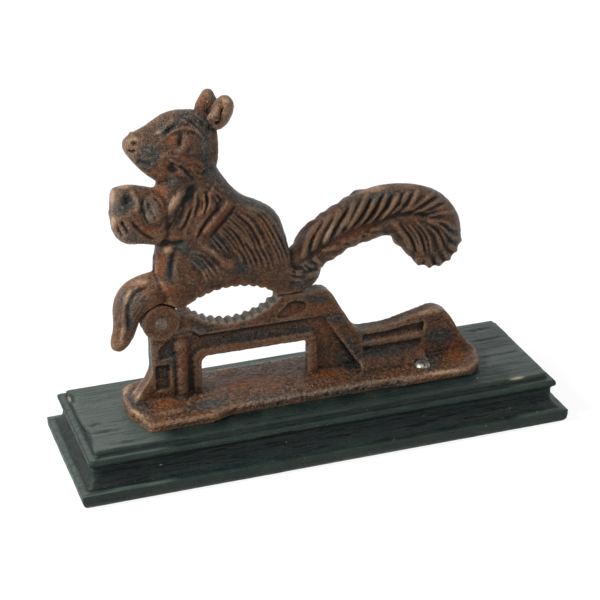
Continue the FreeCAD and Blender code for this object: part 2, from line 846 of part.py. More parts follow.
def screwSeat():
    return flangeTop() + size.seat_rise


def makeJawFrame():
    """The iron casting that holds the lower jaw, the stop and the pivot."""
    body = newBody("jaw_frame")
    addFlange(body)
    addPost(body)
    addRails(body)
    addWindow(body)
    addRampRoot(body)
    addColumn(body)
    cutPanels(body)
    cutLowerJaw(body)
    cutClevis(body)
    cutScrewHoles(body)
    return body


def ellipsoid(body, name, centre, radii, lean=0, cut=False):
    """A rounded mass, or a hollow of that form. Lean tips its top towards +X, in degrees."""
    kind = "SubtractiveEllipsoid" if cut else "AdditiveEllipsoid"
    feature = body.newObject(f"PartDesign::{kind}", name)
    feature.AttachmentSupport = [(originPlane(body, "XY_Plane"), "")]
    feature.MapMode = "FlatFace"
    places = [asSize(step) for step in centre]
    rotation = Rotation(Vector(0, 1, 0), lean)
    feature.AttachmentOffset = Placement(Vector(*[step.value for step in places]), rotation)
    for axis, step in zip("xyz", places):
        bind(feature, f"AttachmentOffset.Base.{axis}", step)
    feature.Angle1 = -90
    feature.Angle2 = 90
    feature.Angle3 = 360
    bind(feature, "Radius1", radii[2])
    bind(feature, "Radius2", radii[0])
    bind(feature, "Radius3", radii[1])
    feature.Refine = False
    body.Tip = feature
    return feature


def mass(body, name, cut=False):
    """One of the squirrel's rounded masses or hollows, placed from the pivot."""
    *lengths, lean = MASSES[name]
    x, y, z, rx, ry, rz = size.addRow(name, ("x", "y", "z", "length", "breadth", "depth"), lengths)
    doc.recompute([size.sheet])
    return ellipsoid(body, name, (size.pivot_x + x, y, size.pivot_z + z), (rx, ry, rz), lean, cut)


def limb(body, name, rows, section):
    """A smooth loft through sections that stand square to the limb's line."""
    sections = []
    columns = ("x", "z", "width", "thickness")
    cells = [size.addRow(f"{name}_{i}", columns, (x, z, w, t)) for i, (x, z, turn, w, t) in enumerate(rows)]
    doc.recompute([size.sheet])
    for i, (x, z, width, thickness) in enumerate(cells):
        turn = Rotation(Vector(0, 1, 0), 90 - rows[i][2])
        place = (size.pivot_x + x, 0, size.pivot_z + z)
        sketch = newSketch(body, f"{name}_section_{i}", "XY_Plane", place, turn)
        section(sketch, width, thickness)
        sections.append(sketch)
    loft = body.newObject("PartDesign::AdditiveLoft", name)
    loft.Profile = sections[0]
    loft.Sections = sections[1:]
    loft.Refine = False
    body.Tip = loft
    return loft


def cutUpperJaw(body):
    """Cuts the toothed arch under the belly and the clear space over the stop."""
    x = size.pivot_x + size.upper_jaw_x
    z = size.pivot_z + size.upper_jaw_rise - size.upper_jaw_radius
    left = size.pivot_x + size.upper_jaw_left
    right = size.pivot_x + size.upper_jaw_right
    seat = size.pivot_z + size.rump_seat
    arch = newSketch(body, "upper_jaw_arch")
    outline(arch, [
        (left - 7.1, seat - 20),
        (left - 7.1, seat + 0.4),
        (left - 0.8, seat + 0.9),
        (left, seat + 3.8),
        (x, size.pivot_z + size.upper_jaw_rise + 5.9, size.upper_jaw_radius),
        (right, seat + 4.4),
        (right + 1.5, seat + 1.8),
        (right + 30, seat + 1.4),
        (right + 30, seat - 20),
    ])
    pocket(body, "upper_jaw_hollow", arch, 2 * size.boss_width, "Symmetric")
    cutTeeth(
        body, "upper_jaw", (x, z), size.upper_jaw_radius, size.upper_tooth_depth, size.tooth_width,
        90, size.tooth_pitch, int(size.upper_teeth.value),
    )


def cutRoundBoss(body):
    """Clears the cheeks of the clevis on both faces and leaves the tongue between them."""
    for name, sign in (("near", 1), ("far", -1)):
        ring = newSketch(body, f"{name}_cheek_clearance", "XZ_Plane", (0, 0, sign * size.tongue_width / 2))
        circle(ring, size.pivot_x, size.pivot_z, size.boss_radius + size.cheek_gap)
        pocket(body, f"{name}_cheek_space", ring, size.boss_width, reversed=sign > 0)
    tongue = newSketch(body, "tongue_side")
    circle(tongue, size.pivot_x, size.pivot_z, size.tongue_radius)
    pad(body, "tongue", tongue, size.tongue_width)
    bore = newSketch(body, "tongue_bore_side")
    circle(bore, size.pivot_x, size.pivot_z, size.rivet_radius + size.bore_clearance)
    pocket(body, "tongue_bore", bore, size.boss_width, "Symmetric")


def makeSquirrelLever():
    """The lever casting: limbs and rounded masses, then the jaw and the pivot tongue."""
    body = newBody("squirrel_lever")
    limb(body, "torso", TORSO, slotSection)
    limb(body, "hind_leg", HIND_LEG, ovalSection)
    mass(body, "haunch")
    mass(body, "shoulder")
    cutUpperJaw(body)
    rumpDepth = size.rump_depth
    ellipsoid(
        body,
        "rump",
        (size.pivot_x + size.rump_x, 0, size.pivot_z + size.rump_seat + rumpDepth),
        (size.rump_length, size.rump_breadth, rumpDepth),
    )
    limb(body, "tail", TAIL, slotSection)
    limb(body, "forelegs", FORELEGS, slotSection)
    limb(body, "head", HEAD, ovalSection)
    mass(body, "nut")
    mass(body, "near_ear")
    mass(body, "far_ear")
    mass(body, "near_ear_hollow", cut=True)
    mass(body, "far_ear_hollow", cut=True)
    mass(body, "near_eye")
    mass(body, "far_eye")
    cutRoundBoss(body)
    return body


def makePivotRivet():
    """A round rivet with a domed head on each cheek."""
    body = newBody("pivot_rivet")
    half = size.boss_width / 2
    end = half + size.rivet_head_height
    profile = newSketch(body, "rivet_section", "YZ_Plane", (0, size.pivot_z, size.pivot_x))
    right = [
        (end, 0),
        (end, size.rivet_head_radius * 0.75, 1.5),
        (half, size.rivet_head_radius),
        (half, size.rivet_radius),
    ]
    left = [(-corner[0],) + corner[1:] for corner in reversed(right)]
    outline(profile, right + left)
    revolve(body, "rivet", profile, "H_Axis")
    return body


def revolve(body, name, sketch, axis):
    feature = body.newObject("PartDesign::Revolution", name)
    feature.Profile = sketch
    feature.ReferenceAxis = (sketch, [axis])
    feature.Angle = 360
    body.Tip = feature
    return feature


def makeFlangeScrew(label, x, y):
    """A round-head wood screw with a slotted head, a plain shank and a point."""
    body = newBody(label)
    tip = -size.screw_length
    slotFloor = size.screw_head_height - size.driver_slot_depth
    profile = newSketch(body, "screw_section", "XZ_Plane", (x, screwSeat(), -asSize(y)))
    outline(profile, [
        (0, tip),
        (size.screw_tip_radius, tip),
        (size.screw_shank_radius, tip + size.screw_point),
        (size.screw_shank_radius, 0),
        (size.screw_head_radius, 0),
        (size.screw_head_radius, 0.5),
        (size.screw_head_radius * 0.7, size.screw_head_height, 2.2),
        (0, size.screw_head_height),
    ])
    revolve(body, "screw", profile, "V_Axis")
    slot = newSketch(body, "driver_slot_side", "XZ_Plane", (x, screwSeat(), -asSize(y)))
    outline(slot, [
        (-size.driver_slot / 2, slotFloor),
        (size.driver_slot / 2, slotFloor),
        (size.driver_slot / 2, size.screw_head_height + 1),
        (-size.driver_slot / 2, size.screw_head_height + 1),
    ])
    pocket(body, "driver_slot", slot, 3 * size.screw_head_radius, "Symmetric")
    return body


def checkDocument():
    """Stops on any failed object or bad shape before anything is written."""
    doc.recompute()
    failed = [item.Name for item in doc.Objects if {"Invalid", "Error"} & set(item.State)]
    if failed:
        raise RuntimeError(f"failed objects: {failed}")
    for body in doc.findObjects("PartDesign::Body"):
        shape = body.Shape
        if shape.isNull() or not shape.isValid() or len(shape.Solids) != 1:
            raise RuntimeError(f"{body.Label} is not one valid solid")


def main():
    makeWoodenBase()
    makeJawFrame()
    makeSquirrelLever()
    makePivotRivet()
    makeFlangeScrew("front_flange_screw", size.front_screw_x, size.front_screw_y)
    makeFlangeScrew("rear_flange_screw", size.rear_screw_x, size.rear_screw_y)
    checkDocument()
    os.makedirs("parts", exist_ok=True)
    for body in doc.findObjects("PartDesign::Body"):
        body.Shape.exportStep(f"parts/{body.Label}.step")
        print(body.Label, f"{body.Shape.Volume:.0f} mm3")


main()
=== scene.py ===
import json
import math

import bmesh
import bpy
import numpy as np
from mathutils import Matrix, Vector, noise


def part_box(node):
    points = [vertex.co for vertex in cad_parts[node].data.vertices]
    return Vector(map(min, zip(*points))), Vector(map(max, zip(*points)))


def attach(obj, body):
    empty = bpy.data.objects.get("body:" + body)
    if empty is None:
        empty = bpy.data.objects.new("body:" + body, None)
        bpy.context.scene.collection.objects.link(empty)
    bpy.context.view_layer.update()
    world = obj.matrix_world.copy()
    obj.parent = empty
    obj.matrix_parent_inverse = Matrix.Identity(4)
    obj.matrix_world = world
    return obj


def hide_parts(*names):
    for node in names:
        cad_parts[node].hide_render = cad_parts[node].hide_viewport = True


# Iron squirrel nutcracker on a stained plinth. Blender works in metres, and sizes below are in millimetres.

mm = 0.001
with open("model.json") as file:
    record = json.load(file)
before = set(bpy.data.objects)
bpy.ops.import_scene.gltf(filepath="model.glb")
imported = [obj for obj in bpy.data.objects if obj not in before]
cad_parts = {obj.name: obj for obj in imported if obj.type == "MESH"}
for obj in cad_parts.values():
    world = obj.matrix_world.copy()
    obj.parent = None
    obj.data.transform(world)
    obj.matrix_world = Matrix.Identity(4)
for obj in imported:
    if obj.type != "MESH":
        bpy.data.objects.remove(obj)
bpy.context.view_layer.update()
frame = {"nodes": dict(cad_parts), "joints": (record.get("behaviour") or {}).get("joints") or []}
print("frame loaded:", sorted(frame["nodes"]))

# The photograph's camera, solved from the plinth's corners. Lengths in the picture are in pixels.
shot = {
    "side": 600,
    "focal": 1738.27,
    "sensor": 36.0,  # millimetres
    "nearest": 0.05,  # metres
    "azimuth": -18.886,
    "elevation": 25.267,
    "roll": -0.489,
    "eye": (-282.53, -813.95, 485.66),
    "scale": 1.68,  # pixels to a millimetre at the squirrel
}


# Right, up and back of the camera, as unit vectors.
def cameraAxes():
    a = math.radians(shot["azimuth"])
    e = math.radians(shot["elevation"])
    roll = math.radians(shot["roll"])
    back = Vector((math.sin(a) * math.cos(e), -math.cos(a) * math.cos(e), math.sin(e)))
    level = (-back).cross(Vector((0, 0, 1))).normalized()
    upright = level.cross(-back)
    right = math.cos(roll) * level + math.sin(roll) * upright
    up = math.cos(roll) * upright - math.sin(roll) * level
    return right, up, back


# Where points in millimetres fall in the photograph.
def toPicture(points):
    right, up, back = (np.array(axis) for axis in cameraAxes())
    away = points - np.array(shot["eye"])
    depth = -(away @ back)
    middle = shot["side"] / 2
    across = middle + shot["focal"] * (away @ right) / depth
    down = middle - shot["focal"] * (away @ up) / depth
    return np.stack([across, down], axis=1)


# Even curve through the given points.
def smoothLine(spots, steps=5):
    spots = [np.array(spot, float) for spot in spots]
    padded = [2 * spots[0] - spots[1]] + spots + [2 * spots[-1] - spots[-2]]
    line = []
    for a, b, c, d in zip(padded, padded[1:], padded[2:], padded[3:]):
        for step in range(steps):
            t = step / steps
            bend = (2 * a - 5 * b + 4 * c - d) * t * t + (3 * b - a - 3 * c + d) * t ** 3
            line.append(0.5 * (2 * b + (c - a) * t + bend))
    return line + [spots[-1]]


# A casting is a dictionary: its mesh, its points in millimetres, how they join, and the relief to add.
def neighbourMean(skin, values):
    first, second = skin["edges"].T
    count = len(values)
    total = np.bincount(first, values[second], count) + np.bincount(second, values[first], count)
    return total / skin["degree"]


def neighbourMiddle(skin):
    return np.stack([neighbourMean(skin, skin["points"][:, axis]) for axis in range(3)], axis=1)


# Smooths away the joins between forms, and keeps the size by pushing out after each pull in.
def relax(skin, rounds, hold, pullIn=0.5, pushOut=-0.52):
    for _ in range(rounds):
        for pull in (pullIn, pushOut):
            skin["points"] += pull * hold[:, None] * (neighbourMiddle(skin) - skin["points"])
    refreshNormals(skin)


def refreshNormals(skin):
    mesh = skin["mesh"]
    mesh.vertices.foreach_set("co", (skin["points"] * mm).astype(np.float32).ravel())
    mesh.update()
    normals = np.zeros(len(mesh.vertices) * 3, np.float32)
    mesh.vertex_normals.foreach_get("vector", normals)
    skin["normals"] = normals.reshape(-1, 3).astype(float)


# Copy of a CAD node with small even faces, ready for relief.
def remeshedCopy(nodeName, pieceName, voxel):
    mesh = frame["nodes"][nodeName].data.copy()
    build = bmesh.new()
    build.from_mesh(mesh)
    bmesh.ops.remove_doubles(build, verts=build.verts, dist=0.002 * mm)
    build.to_mesh(mesh)
    build.free()
    rough = bpy.data.objects.new("rough", mesh)
    bpy.context.collection.objects.link(rough)
    evenFaces = rough.modifiers.new("evenFaces", "REMESH")
    evenFaces.mode = "VOXEL"
    evenFaces.voxel_size = voxel * mm
    evenFaces.use_smooth_shade = True
    bpy.context.view_layer.update()
    finished = bpy.data.meshes.new_from_object(rough.evaluated_get(bpy.context.evaluated_depsgraph_get()))
    bpy.data.objects.remove(rough)
    piece = bpy.data.objects.new(pieceName, finished)
    bpy.context.collection.objects.link(piece)
    count = len(finished.vertices)
    points = np.zeros(count * 3, np.float32)
    finished.vertices.foreach_get("co", points)
    edges = np.zeros(len(finished.edges) * 2, np.int32)
    finished.edges.foreach_get("vertices", edges)
    edges = edges.reshape(-1, 2)
    skin = {
        "piece": piece,
        "mesh": finished,
        "voxel": voxel,
        "points": points.reshape(-1, 3).astype(float) / mm,
        "edges": edges,
        "degree": np.maximum(1, np.bincount(edges.ravel(), minlength=count)),
        "relief": np.zeros(count),
        "unit": 1.0,
    }
    refreshNormals(skin)
    return skin


def stepUp(values, low, high):
    t = np.clip((values - low) / (high - low), 0, 1)
    return t * t * (3 - 2 * t)


# Both faces carry the same relief, so the far one is measured as the mirror of the near one.
def lookAtFace(skin):
    near = skin["points"].copy()
    near[:, 1] = -np.abs(near[:, 1])
    skin["picture"] = toPicture(near)
    skin["unit"] = shot["scale"]
    skin["facing"] = stepUp(np.abs(skin["normals"][:, 1]), 0.0, 0.4)


# A raised or cut line through picture points; step lifts its left side and sinks its right.
def stroke(skin, spots, width, height, step=0.0, fade=0.2, everywhere=False):
    line = smoothLine(spots)
    reach = width * skin["unit"]
    corners = np.array(line)
    low = corners.min(axis=0) - 3 * reach
    high = corners.max(axis=0) + 3 * reach
    chosen = np.nonzero(((skin["picture"] > low) & (skin["picture"] < high)).all(axis=1))[0]
    places = skin["picture"][chosen]
    nearest = np.full(len(chosen), np.inf)
    along = np.zeros(len(chosen))
    side = np.zeros(len(chosen))
    for i, (start, end) in enumerate(zip(line, line[1:])):
        run = end - start
        offset = places - start
        t = np.clip(offset @ run / (run @ run), 0, 1)
        gap = offset - t[:, None] * run
        distance = np.hypot(gap[:, 0], gap[:, 1])
        closer = distance < nearest
        nearest[closer] = distance[closer]
        along[closer] = (i + t[closer]) / (len(line) - 1)
        side[closer] = np.sign(run[1] * gap[:, 0] - run[0] * gap[:, 1])[closer]
    across = nearest / reach
    ends = np.clip(np.minimum(along, 1 - along) / fade, 0, 1) if fade else 1
    stepGain = 1.6  # the step then peaks at about 0.7 of the number given
    lift = (height + stepGain * step * side * across) * np.exp(-across ** 2) * ends
    skin["relief"][chosen] += lift if everywhere else lift * skin["facing"][chosen]


def between(first, last, share):
    return [tuple((1 - share) * np.array(a) + share * np.array(b)) for a, b in zip(first, last)]


# How much the locks of fur and feathers differ; each pair of numbers is a range.
locks = {
    "seed": 11,
    "uneven": 0.2,
    "wander": 0.7,
    "rootLoss": (0, 0.25),
    "tipLoss": (0, 0.3),
    "heights": (0.6, 1.2),
    "step": 0.35,
    "cutWidth": 0.52,
    "cutDepths": (0.6, 1.4),
}


# Pulls both ends of a lock in by a little, each by its own amount.
def shortened(spots, dice):
    first, *middle, last = [np.array(spot, float) for spot in spots]
    start = first + dice.uniform(*locks["rootLoss"]) * (middle[0] - first)
    end = last + dice.uniform(*locks["tipLoss"]) * (middle[-1] - last)
    return [start, *middle, end]


# Locks of hair that change from one guide line to the other, with a cut between each pair.
def fur(skin, first, last, count, width, height, groove=0.5):
    dice = skin["dice"]
    wander = locks["wander"]
    for i in range(count):
        share = (i + dice.uniform(-locks["uneven"], locks["uneven"])) / max(1, count - 1)
        spots = shortened(between(first, last, share), dice)
        spots = [(x + dice.normal(0, wander), y + dice.normal(0, wander)) for x, y in spots]
        size = height * dice.uniform(*locks["heights"])
        stroke(skin, spots, width, size, step=locks["step"] * size)
        if i < count - 1:
            cut = shortened(between(first, last, (i + 0.5) / max(1, count - 1)), dice)
            depth = groove * height * dice.uniform(*locks["cutDepths"])
            stroke(skin, cut, locks["cutWidth"] * width, -depth)



# A round swelling or hollow in picture pixels; a larger sharp gives a flatter top.
def mound(skin, middle, radii, height, lean=0, sharp=2.0, everywhere=False):
    turn = math.radians(lean)
    offset = skin["picture"] - np.array(middle)
    u = (offset[:, 0] * math.cos(turn) + offset[:, 1] * math.sin(turn)) / radii[0]
    v = (offset[:, 1] * math.cos(turn) - offset[:, 0] * math.sin(turn)) / radii[1]
    lift = height * np.exp(-np.hypot(u, v) ** sharp)
    skin["relief"] += lift if everywhere else lift * skin["facing"]


def oval(middle, radii, sides=16):
    x, y = middle
    turns = [2 * math.pi * i / sides for i in range(sides + 1)]
    return [(x + radii[0] * math.cos(turn), y + radii[1] * math.sin(turn)) for turn in turns]


# Uneven surface of sand-cast iron or worn wood.
def roughen(skin, size, height, seed):
    shift = Vector((seed, 2 * seed, 3 * seed))
    bumps = [noise.noise(Vector(point) / size + shift) for point in skin["points"]]
    skin["relief"] += height * np.array(bumps)


def pressRelief(skin):
    skin["points"] += skin["relief"][:, None] * skin["normals"]
    skin["relief"][:] = 0
    refreshNormals(skin)


# Keeps a number for each point of the mesh, for the shader to read.
def paint(skin, name, values):
    layer = skin["mesh"].attributes.new(name, "FLOAT", "POINT")
    layer.data.foreach_set("value", values.astype(np.float32))


# How the finish finds hollows: the weights of a fine and a broad look, and how far the broad one goes.
cavities = {"fine": 0.7, "broad": 2.6, "rounds": 28, "pull": 0.6, "limit": 1.5}


# Stores how hollow (+) or proud (-) each point is.
def markCavities(skin):
    lift = ((neighbourMiddle(skin) - skin["points"]) * skin["normals"]).sum(axis=1)
    fine = 4 * lift / skin["voxel"] ** 2
    for _ in range(2):
        fine = neighbourMean(skin, fine)
    rested = dict(skin, points=skin["points"].copy())
    for _ in range(cavities["rounds"]):
        rested["points"] += cavities["pull"] * (neighbourMiddle(rested) - rested["points"])
    broad = ((rested["points"] - skin["points"]) * skin["normals"]).sum(axis=1)
    hollow = cavities["fine"] * fine + cavities["broad"] * broad
    paint(skin, "hollow", np.clip(hollow, -cavities["limit"], cavities["limit"]))


# The features of the relief: each keeps its tool and its measures until it is carved.
def line(*measures, **options):
    return stroke, measures, options


def spot(*measures, **options):
    return mound, measures, options


def hair(*measures, **options):
    return fur, measures, options


def carve(skin, features):
    for tool, measures, options in features.values():
        tool(skin, *measures, **options)


# The squirrel's relief. Places and radii are in pixels of the photo, widths and heights in millimetres.
# line: points, width, height. spot: middle, radii, height. hair: two guide lines, locks, width, height.
face = {
    "eye": spot((183, 143), (13, 7), 0.45, lean=12),
    "upperLid": line([(166, 138), (174, 132), (186, 129), (198, 133), (204, 141)], 1.1, 0.3, step=0.3),
    "lowerLid": line([(168, 149), (178, 152), (190, 153), (200, 149)], 1.0, 0.3),
    "pupil": spot((180, 141), (2.6, 7), -1.1, lean=8),
    "eyeLight": spot((189, 143), (4, 3.4), 0.35),
    "tearCut": line([(186, 134), (191, 133), (196, 134)], 0.7, -0.25),
    "brow": line([(158, 134), (165, 128), (172, 122), (178, 119)], 1.9, 0.9, fade=0.5),
    "browCut": line([(160, 135), (165, 133), (170, 128), (176, 124)], 1.6, -0.8, fade=0.5),
    "nostril": spot((133, 143), (4.6, 3.2), -1.0),
    "noseTop": line([(131, 138), (134, 137), (138, 139)], 0.9, 0.55),
    "mouth": line([(127, 150), (131, 152), (136, 150)], 0.8, -1.1),
    "chinCut": line([(136, 160), (143, 163), (151, 164)], 1.7, -0.6),
    "chinShade": line([(139, 167), (146, 170), (152, 172)], 1.0, -0.25),
    "cheek": line([(160, 160), (164, 156), (172, 155), (182, 158), (195, 165)], 1.7, 0.45),
    "jowl": line([(161, 158), (161, 168), (161, 178), (158, 184)], 2.4, 0.2),
    "jowlCut": line([(167, 163), (166, 172), (165, 182)], 1.3, -0.25),
    "lobe": spot((174, 180), (7, 6), 0.5),
    "cheekPit": spot((172, 169), (5, 4), -1.6, lean=30),
    "underCheek": line([(168, 162), (176, 165), (184, 170), (190, 176)], 1.1, -0.7),
    "lid": line([(167, 151), (176, 154), (186, 156), (196, 157)], 1.0, -0.2),
    "foldUnderEar": line([(183, 124), (196, 122), (206, 126), (210, 133)], 1.4, -0.3),
    "whiskers": hair(
        [(168, 159), (176, 164), (183, 169)], [(176, 170), (184, 175), (193, 181)], 3, 0.9, 0.6,
    ),
    "nape": hair([(190, 156), (199, 162), (208, 168)], [(187, 170), (194, 176), (200, 181)], 6, 0.8, 0.7),
    "crown": hair([(188, 112), (198, 116), (206, 124)], [(176, 118), (190, 123), (204, 137)], 4, 0.8, 0.35),
}
ear = {
    "pit": spot((213.5, 117), (3.2, 5.5), 2.2, lean=24, everywhere=True),
    "frontRim": line([(211, 121), (215, 112), (221, 103)], 1.5, 1.4, everywhere=True),
    "back": spot((226, 112), (5, 10), 1.8, lean=24, everywhere=True),
    "slit": line([(215, 124), (219, 116), (223, 107)], 0.7, -1.2, fade=0.3),
    "farCup": spot((205, 105), (6, 9), -0.7, lean=20, everywhere=True),
}
paws = {
    "upperHollow": spot((127, 202), (8, 10), -2.6),
    "upperKnob": spot((117, 196), (5, 6), 0.7),
    "thumb": line([(129, 190), (135, 196), (138, 206), (135, 214)], 1.4, 1.0),
    "nut": spot((153, 211), (12, 17), 0.7, sharp=4),
    "nutRim": line(oval((153, 211), (13, 18)), 1.0, -0.25, fade=0),
    "nutCrackLeft": line([(143, 198), (142, 208), (146, 219), (150, 223)], 0.8, -0.45),
    "nutCrackMiddle": line([(147, 198), (149, 208), (154, 216), (156, 220)], 0.8, -0.45),
    "nutCrackRight": line([(152, 197), (159, 203), (162, 212)], 0.8, -0.45),
    "lowerKnob": spot((116, 219), (6, 4), 0.7),
    "fingerUpper": line([(121, 220), (124, 227), (129, 234)], 0.9, -0.8),
    "fingerLower": line([(117, 226), (119, 232), (123, 238)], 0.9, -0.8),
    "fingerBelow": line([(131, 221), (139, 230), (148, 237), (156, 240)], 0.9, -0.8),
    "wristCut": line([(160, 245), (168, 243), (177, 243), (186, 240)], 1.6, -0.9),
}
foreparts = {
    "armpit": spot((190, 194), (5, 9), -1.7, lean=30),
    "chestLight": line([(188, 190), (178, 197), (171, 207), (167, 218)], 2.4, 1.2),
    "chestCut": line([(190, 193), (184, 202), (178, 212), (172, 223), (163, 232)], 1.3, -0.9),
    "arm": hair([(183, 202), (177, 214), (169, 228)], [(194, 208), (190, 222), (181, 236)], 3, 1.2, 0.6),
    "thighEdge": line([(158, 252), (157, 264), (158, 276), (164, 287), (171, 296)], 1.8, 1.0),
    "thighCut": line([(181, 245), (174, 252), (171, 264), (170, 276), (172, 288)], 2.3, -1.1, fade=0.3),
    "thighLight": spot((168, 251), (5, 4), 0.9),
    "footEdge": line(
        [(156, 285), (147, 286), (139, 289), (131, 295), (127, 304), (126, 316), (126, 330), (122, 344)],
        1.8, -0.25, step=-0.55,
    ),
    "foot": hair([(146, 292), (139, 300), (133, 309)], [(142, 308), (137, 318), (132, 330)], 4, 0.8, 0.3),
}
lowNeck = [(207, 190), (210, 204), (205, 216)]
body = {
    "neck": hair([(209, 184), (216, 191), (223, 199)], lowNeck, 5, 0.9, 0.75),
    "throat": hair(lowNeck, [(196, 190), (195, 206), (192, 221)], 4, 0.9, 0.65),
    "shoulderBand": line([(231, 200), (223, 209), (213, 222), (204, 236)], 2.5, 1.4, fade=0.12),
    "shoulderCut": line([(221, 205), (212, 215), (203, 228), (196, 240)], 0.9, -1.2),
    "shoulderEdge": line([(236, 205), (228, 216), (218, 228), (209, 238)], 0.8, -0.9),
    "flank": hair([(208, 236), (217, 246), (225, 255)], [(232, 209), (252, 226), (266, 254)], 11, 0.95, 0.7),
    "low": hair([(232, 246), (240, 256), (245, 268)], [(262, 238), (272, 256), (278, 276)], 7, 0.9, 0.5),
    "back": hair(
        [(236, 205), (256, 220), (272, 247), (281, 268)],
        [(243, 202), (268, 216), (284, 243), (291, 268)], 4, 0.95, 0.65,
    ),
    "haunchEdge": line([(198, 243), (211, 252), (226, 263), (241, 269)], 2.4, 0.9),
    "haunchGlow": spot((231, 265), (9, 6), 0.6),
    "belly": hair(
        [(190, 252), (203, 255), (215, 266), (222, 276)],
        [(186, 258), (196, 265), (204, 276), (208, 286)], 4, 1.0, 0.45,
    ),
    "rump": hair([(287, 268), (297, 271), (307, 270)], [(284, 282), (294, 287), (304, 289)], 5, 0.9, 0.4),
}
highTail = [(344, 234), (357, 216), (370, 193)]
tail = {
    "spine": line(
        [(303, 262), (316, 252), (332, 243), (350, 233), (368, 226), (386, 219), (402, 214), (420, 214),
         (434, 218)],
        1.6, -0.9, fade=0.1,
    ),
    "saddle": hair([(302, 262), (308, 240), (322, 218)], highTail, 5, 1.9, 1.3, groove=0.9),
    "upper": hair(highTail, [(398, 216), (411, 204), (423, 185)], 6, 1.7, 1.3, groove=0.9),
    "front": hair(
        [(402, 216), (418, 205), (437, 189)], [(420, 218), (440, 213), (461, 213)], 4, 1.6, 1.1, groove=0.9,
    ),
    "turn": hair([(424, 219), (442, 221), (459, 231)], [(420, 220), (436, 233), (446, 258)], 4, 1.4, 0.9),
    "curl": hair(
        [(415, 220), (428, 236), (433, 261)], [(388, 220), (402, 236), (412, 256)], 6, 1.5, 1.0, groove=0.9,
    ),
    "under": hair([(322, 250), (330, 250), (340, 247)], [(366, 229), (375, 230), (383, 227)], 6, 1.2, 0.9),
    "root": hair([(298, 262), (303, 268), (309, 272)], [(312, 257), (318, 262), (323, 262)], 3, 1.2, 0.8),
}
tailTufts = {
    # place and lean
    "places": (
        (312, 274, -40), (320, 265, -40), (331, 257, -30), (341, 252, -30), (354, 243, -25),
        (367, 238, -25), (376, 234, -25), (419, 263, 75), (429, 264, 80), (438, 261, 70), (447, 256, 55),
        (453, 248, 40), (457, 239, 25), (406, 256, 60), (396, 242, 55),
    ),
    "radii": (5.5, 2.8),
    "height": 1.2,
}


# Where the finish differs, and where light and shade are painted: rust that also paints the glow of lit
# faces, a blue-grey film that also paints shade, and painted highlights. Middle and radii in picture pixels,
# and the lean of the patch.
squirrelPatches = {
    # rust, which here also paints the glow of lit faces on the chest, shoulder, haunch, thigh and eye
    "rustAndLitGlow": (
        (160, 191, 10, 5, 0), (218, 220, 3.5, 22, 38), (230, 264, 10, 5, 10), (161, 266, 4, 12, 0),
        (173, 141, 5, 6, 0), (189, 143, 6, 5, 0), (164, 170, 4, 14, 0), (203, 107, 5, 8, 20),
        (150, 230, 12, 4, 0), (185, 158, 14, 3, 20), (350, 236, 28, 5, -25), (170, 290, 8, 6, 0),
        (164, 205, 4, 12, 0), (194, 168, 6, 3, 30),
    ),
    # blue-grey film, which here also paints shade under the brow and the snout, in the paw hollow, armpit
    # and grooves
    "filmAndShade": (
        (172, 182, 8, 7, 0), (144, 164, 8, 6, 25), (127, 202, 7, 8, 0), (170, 272, 5, 11, 0),
        (205, 148, 5, 20, 0), (228, 186, 14, 8, 40), (212, 172, 7, 7, 0), (262, 208, 18, 7, 25),
        (283, 236, 7, 20, -15), (189, 195, 7, 8, 30), (218, 242, 9, 6, 40), (241, 268, 9, 7, 0),
        (186, 115, 9, 6, 0), (309, 268, 10, 8, -30), (140, 158, 7, 4, 0), (130, 236, 12, 5, 15),
        (131, 322, 4, 12, 0), (452, 236, 6, 14, 0), (333, 234, 5, 10, 30), (181, 246, 8, 6, 0),
        (200, 262, 12, 6, 40), (122, 299, 5, 6, 0), (163, 130, 12, 5, -30), (150, 150, 8, 5, 20),
        (150, 210, 8, 12, 0), (172, 128, 7, 4, -20), (195, 119, 13, 6, 10), (380, 196, 20, 5, -10),
        (300, 284, 12, 5, 0), (152, 156, 10, 8, 20), (118, 205, 7, 14, 0), (205, 128, 9, 5, 0),
        (247, 200, 14, 6, 30), (135, 300, 9, 12, 0),
    ),
    # painted highlights where light glints on ridges, brow and snout
    "paintedHighlight": (
        (158, 132, 3, 2, -32), (133, 141, 6, 3.5, -20), (168, 250, 4, 3, 0), (128, 297, 3, 7, 20),
        (112, 196, 2.5, 8, 0), (113, 222, 3, 5, 0), (174, 203, 4, 9, 30), (330, 232, 3, 9, 30),
        (215, 113, 2, 7, 30), (150, 112, 14, 3, -35), (124, 186, 8, 2.5, 0), (140, 282, 8, 2.5, -10),
        (123, 335, 3, 10, 10), (372, 190, 14, 2.5, -12), (215, 252, 4, 2, 30), (198, 236, 4, 3, 0),
        (204, 92, 4, 3, 0), (226, 100, 4, 3, 20), (160, 283, 5, 2, 0),
    ),
}
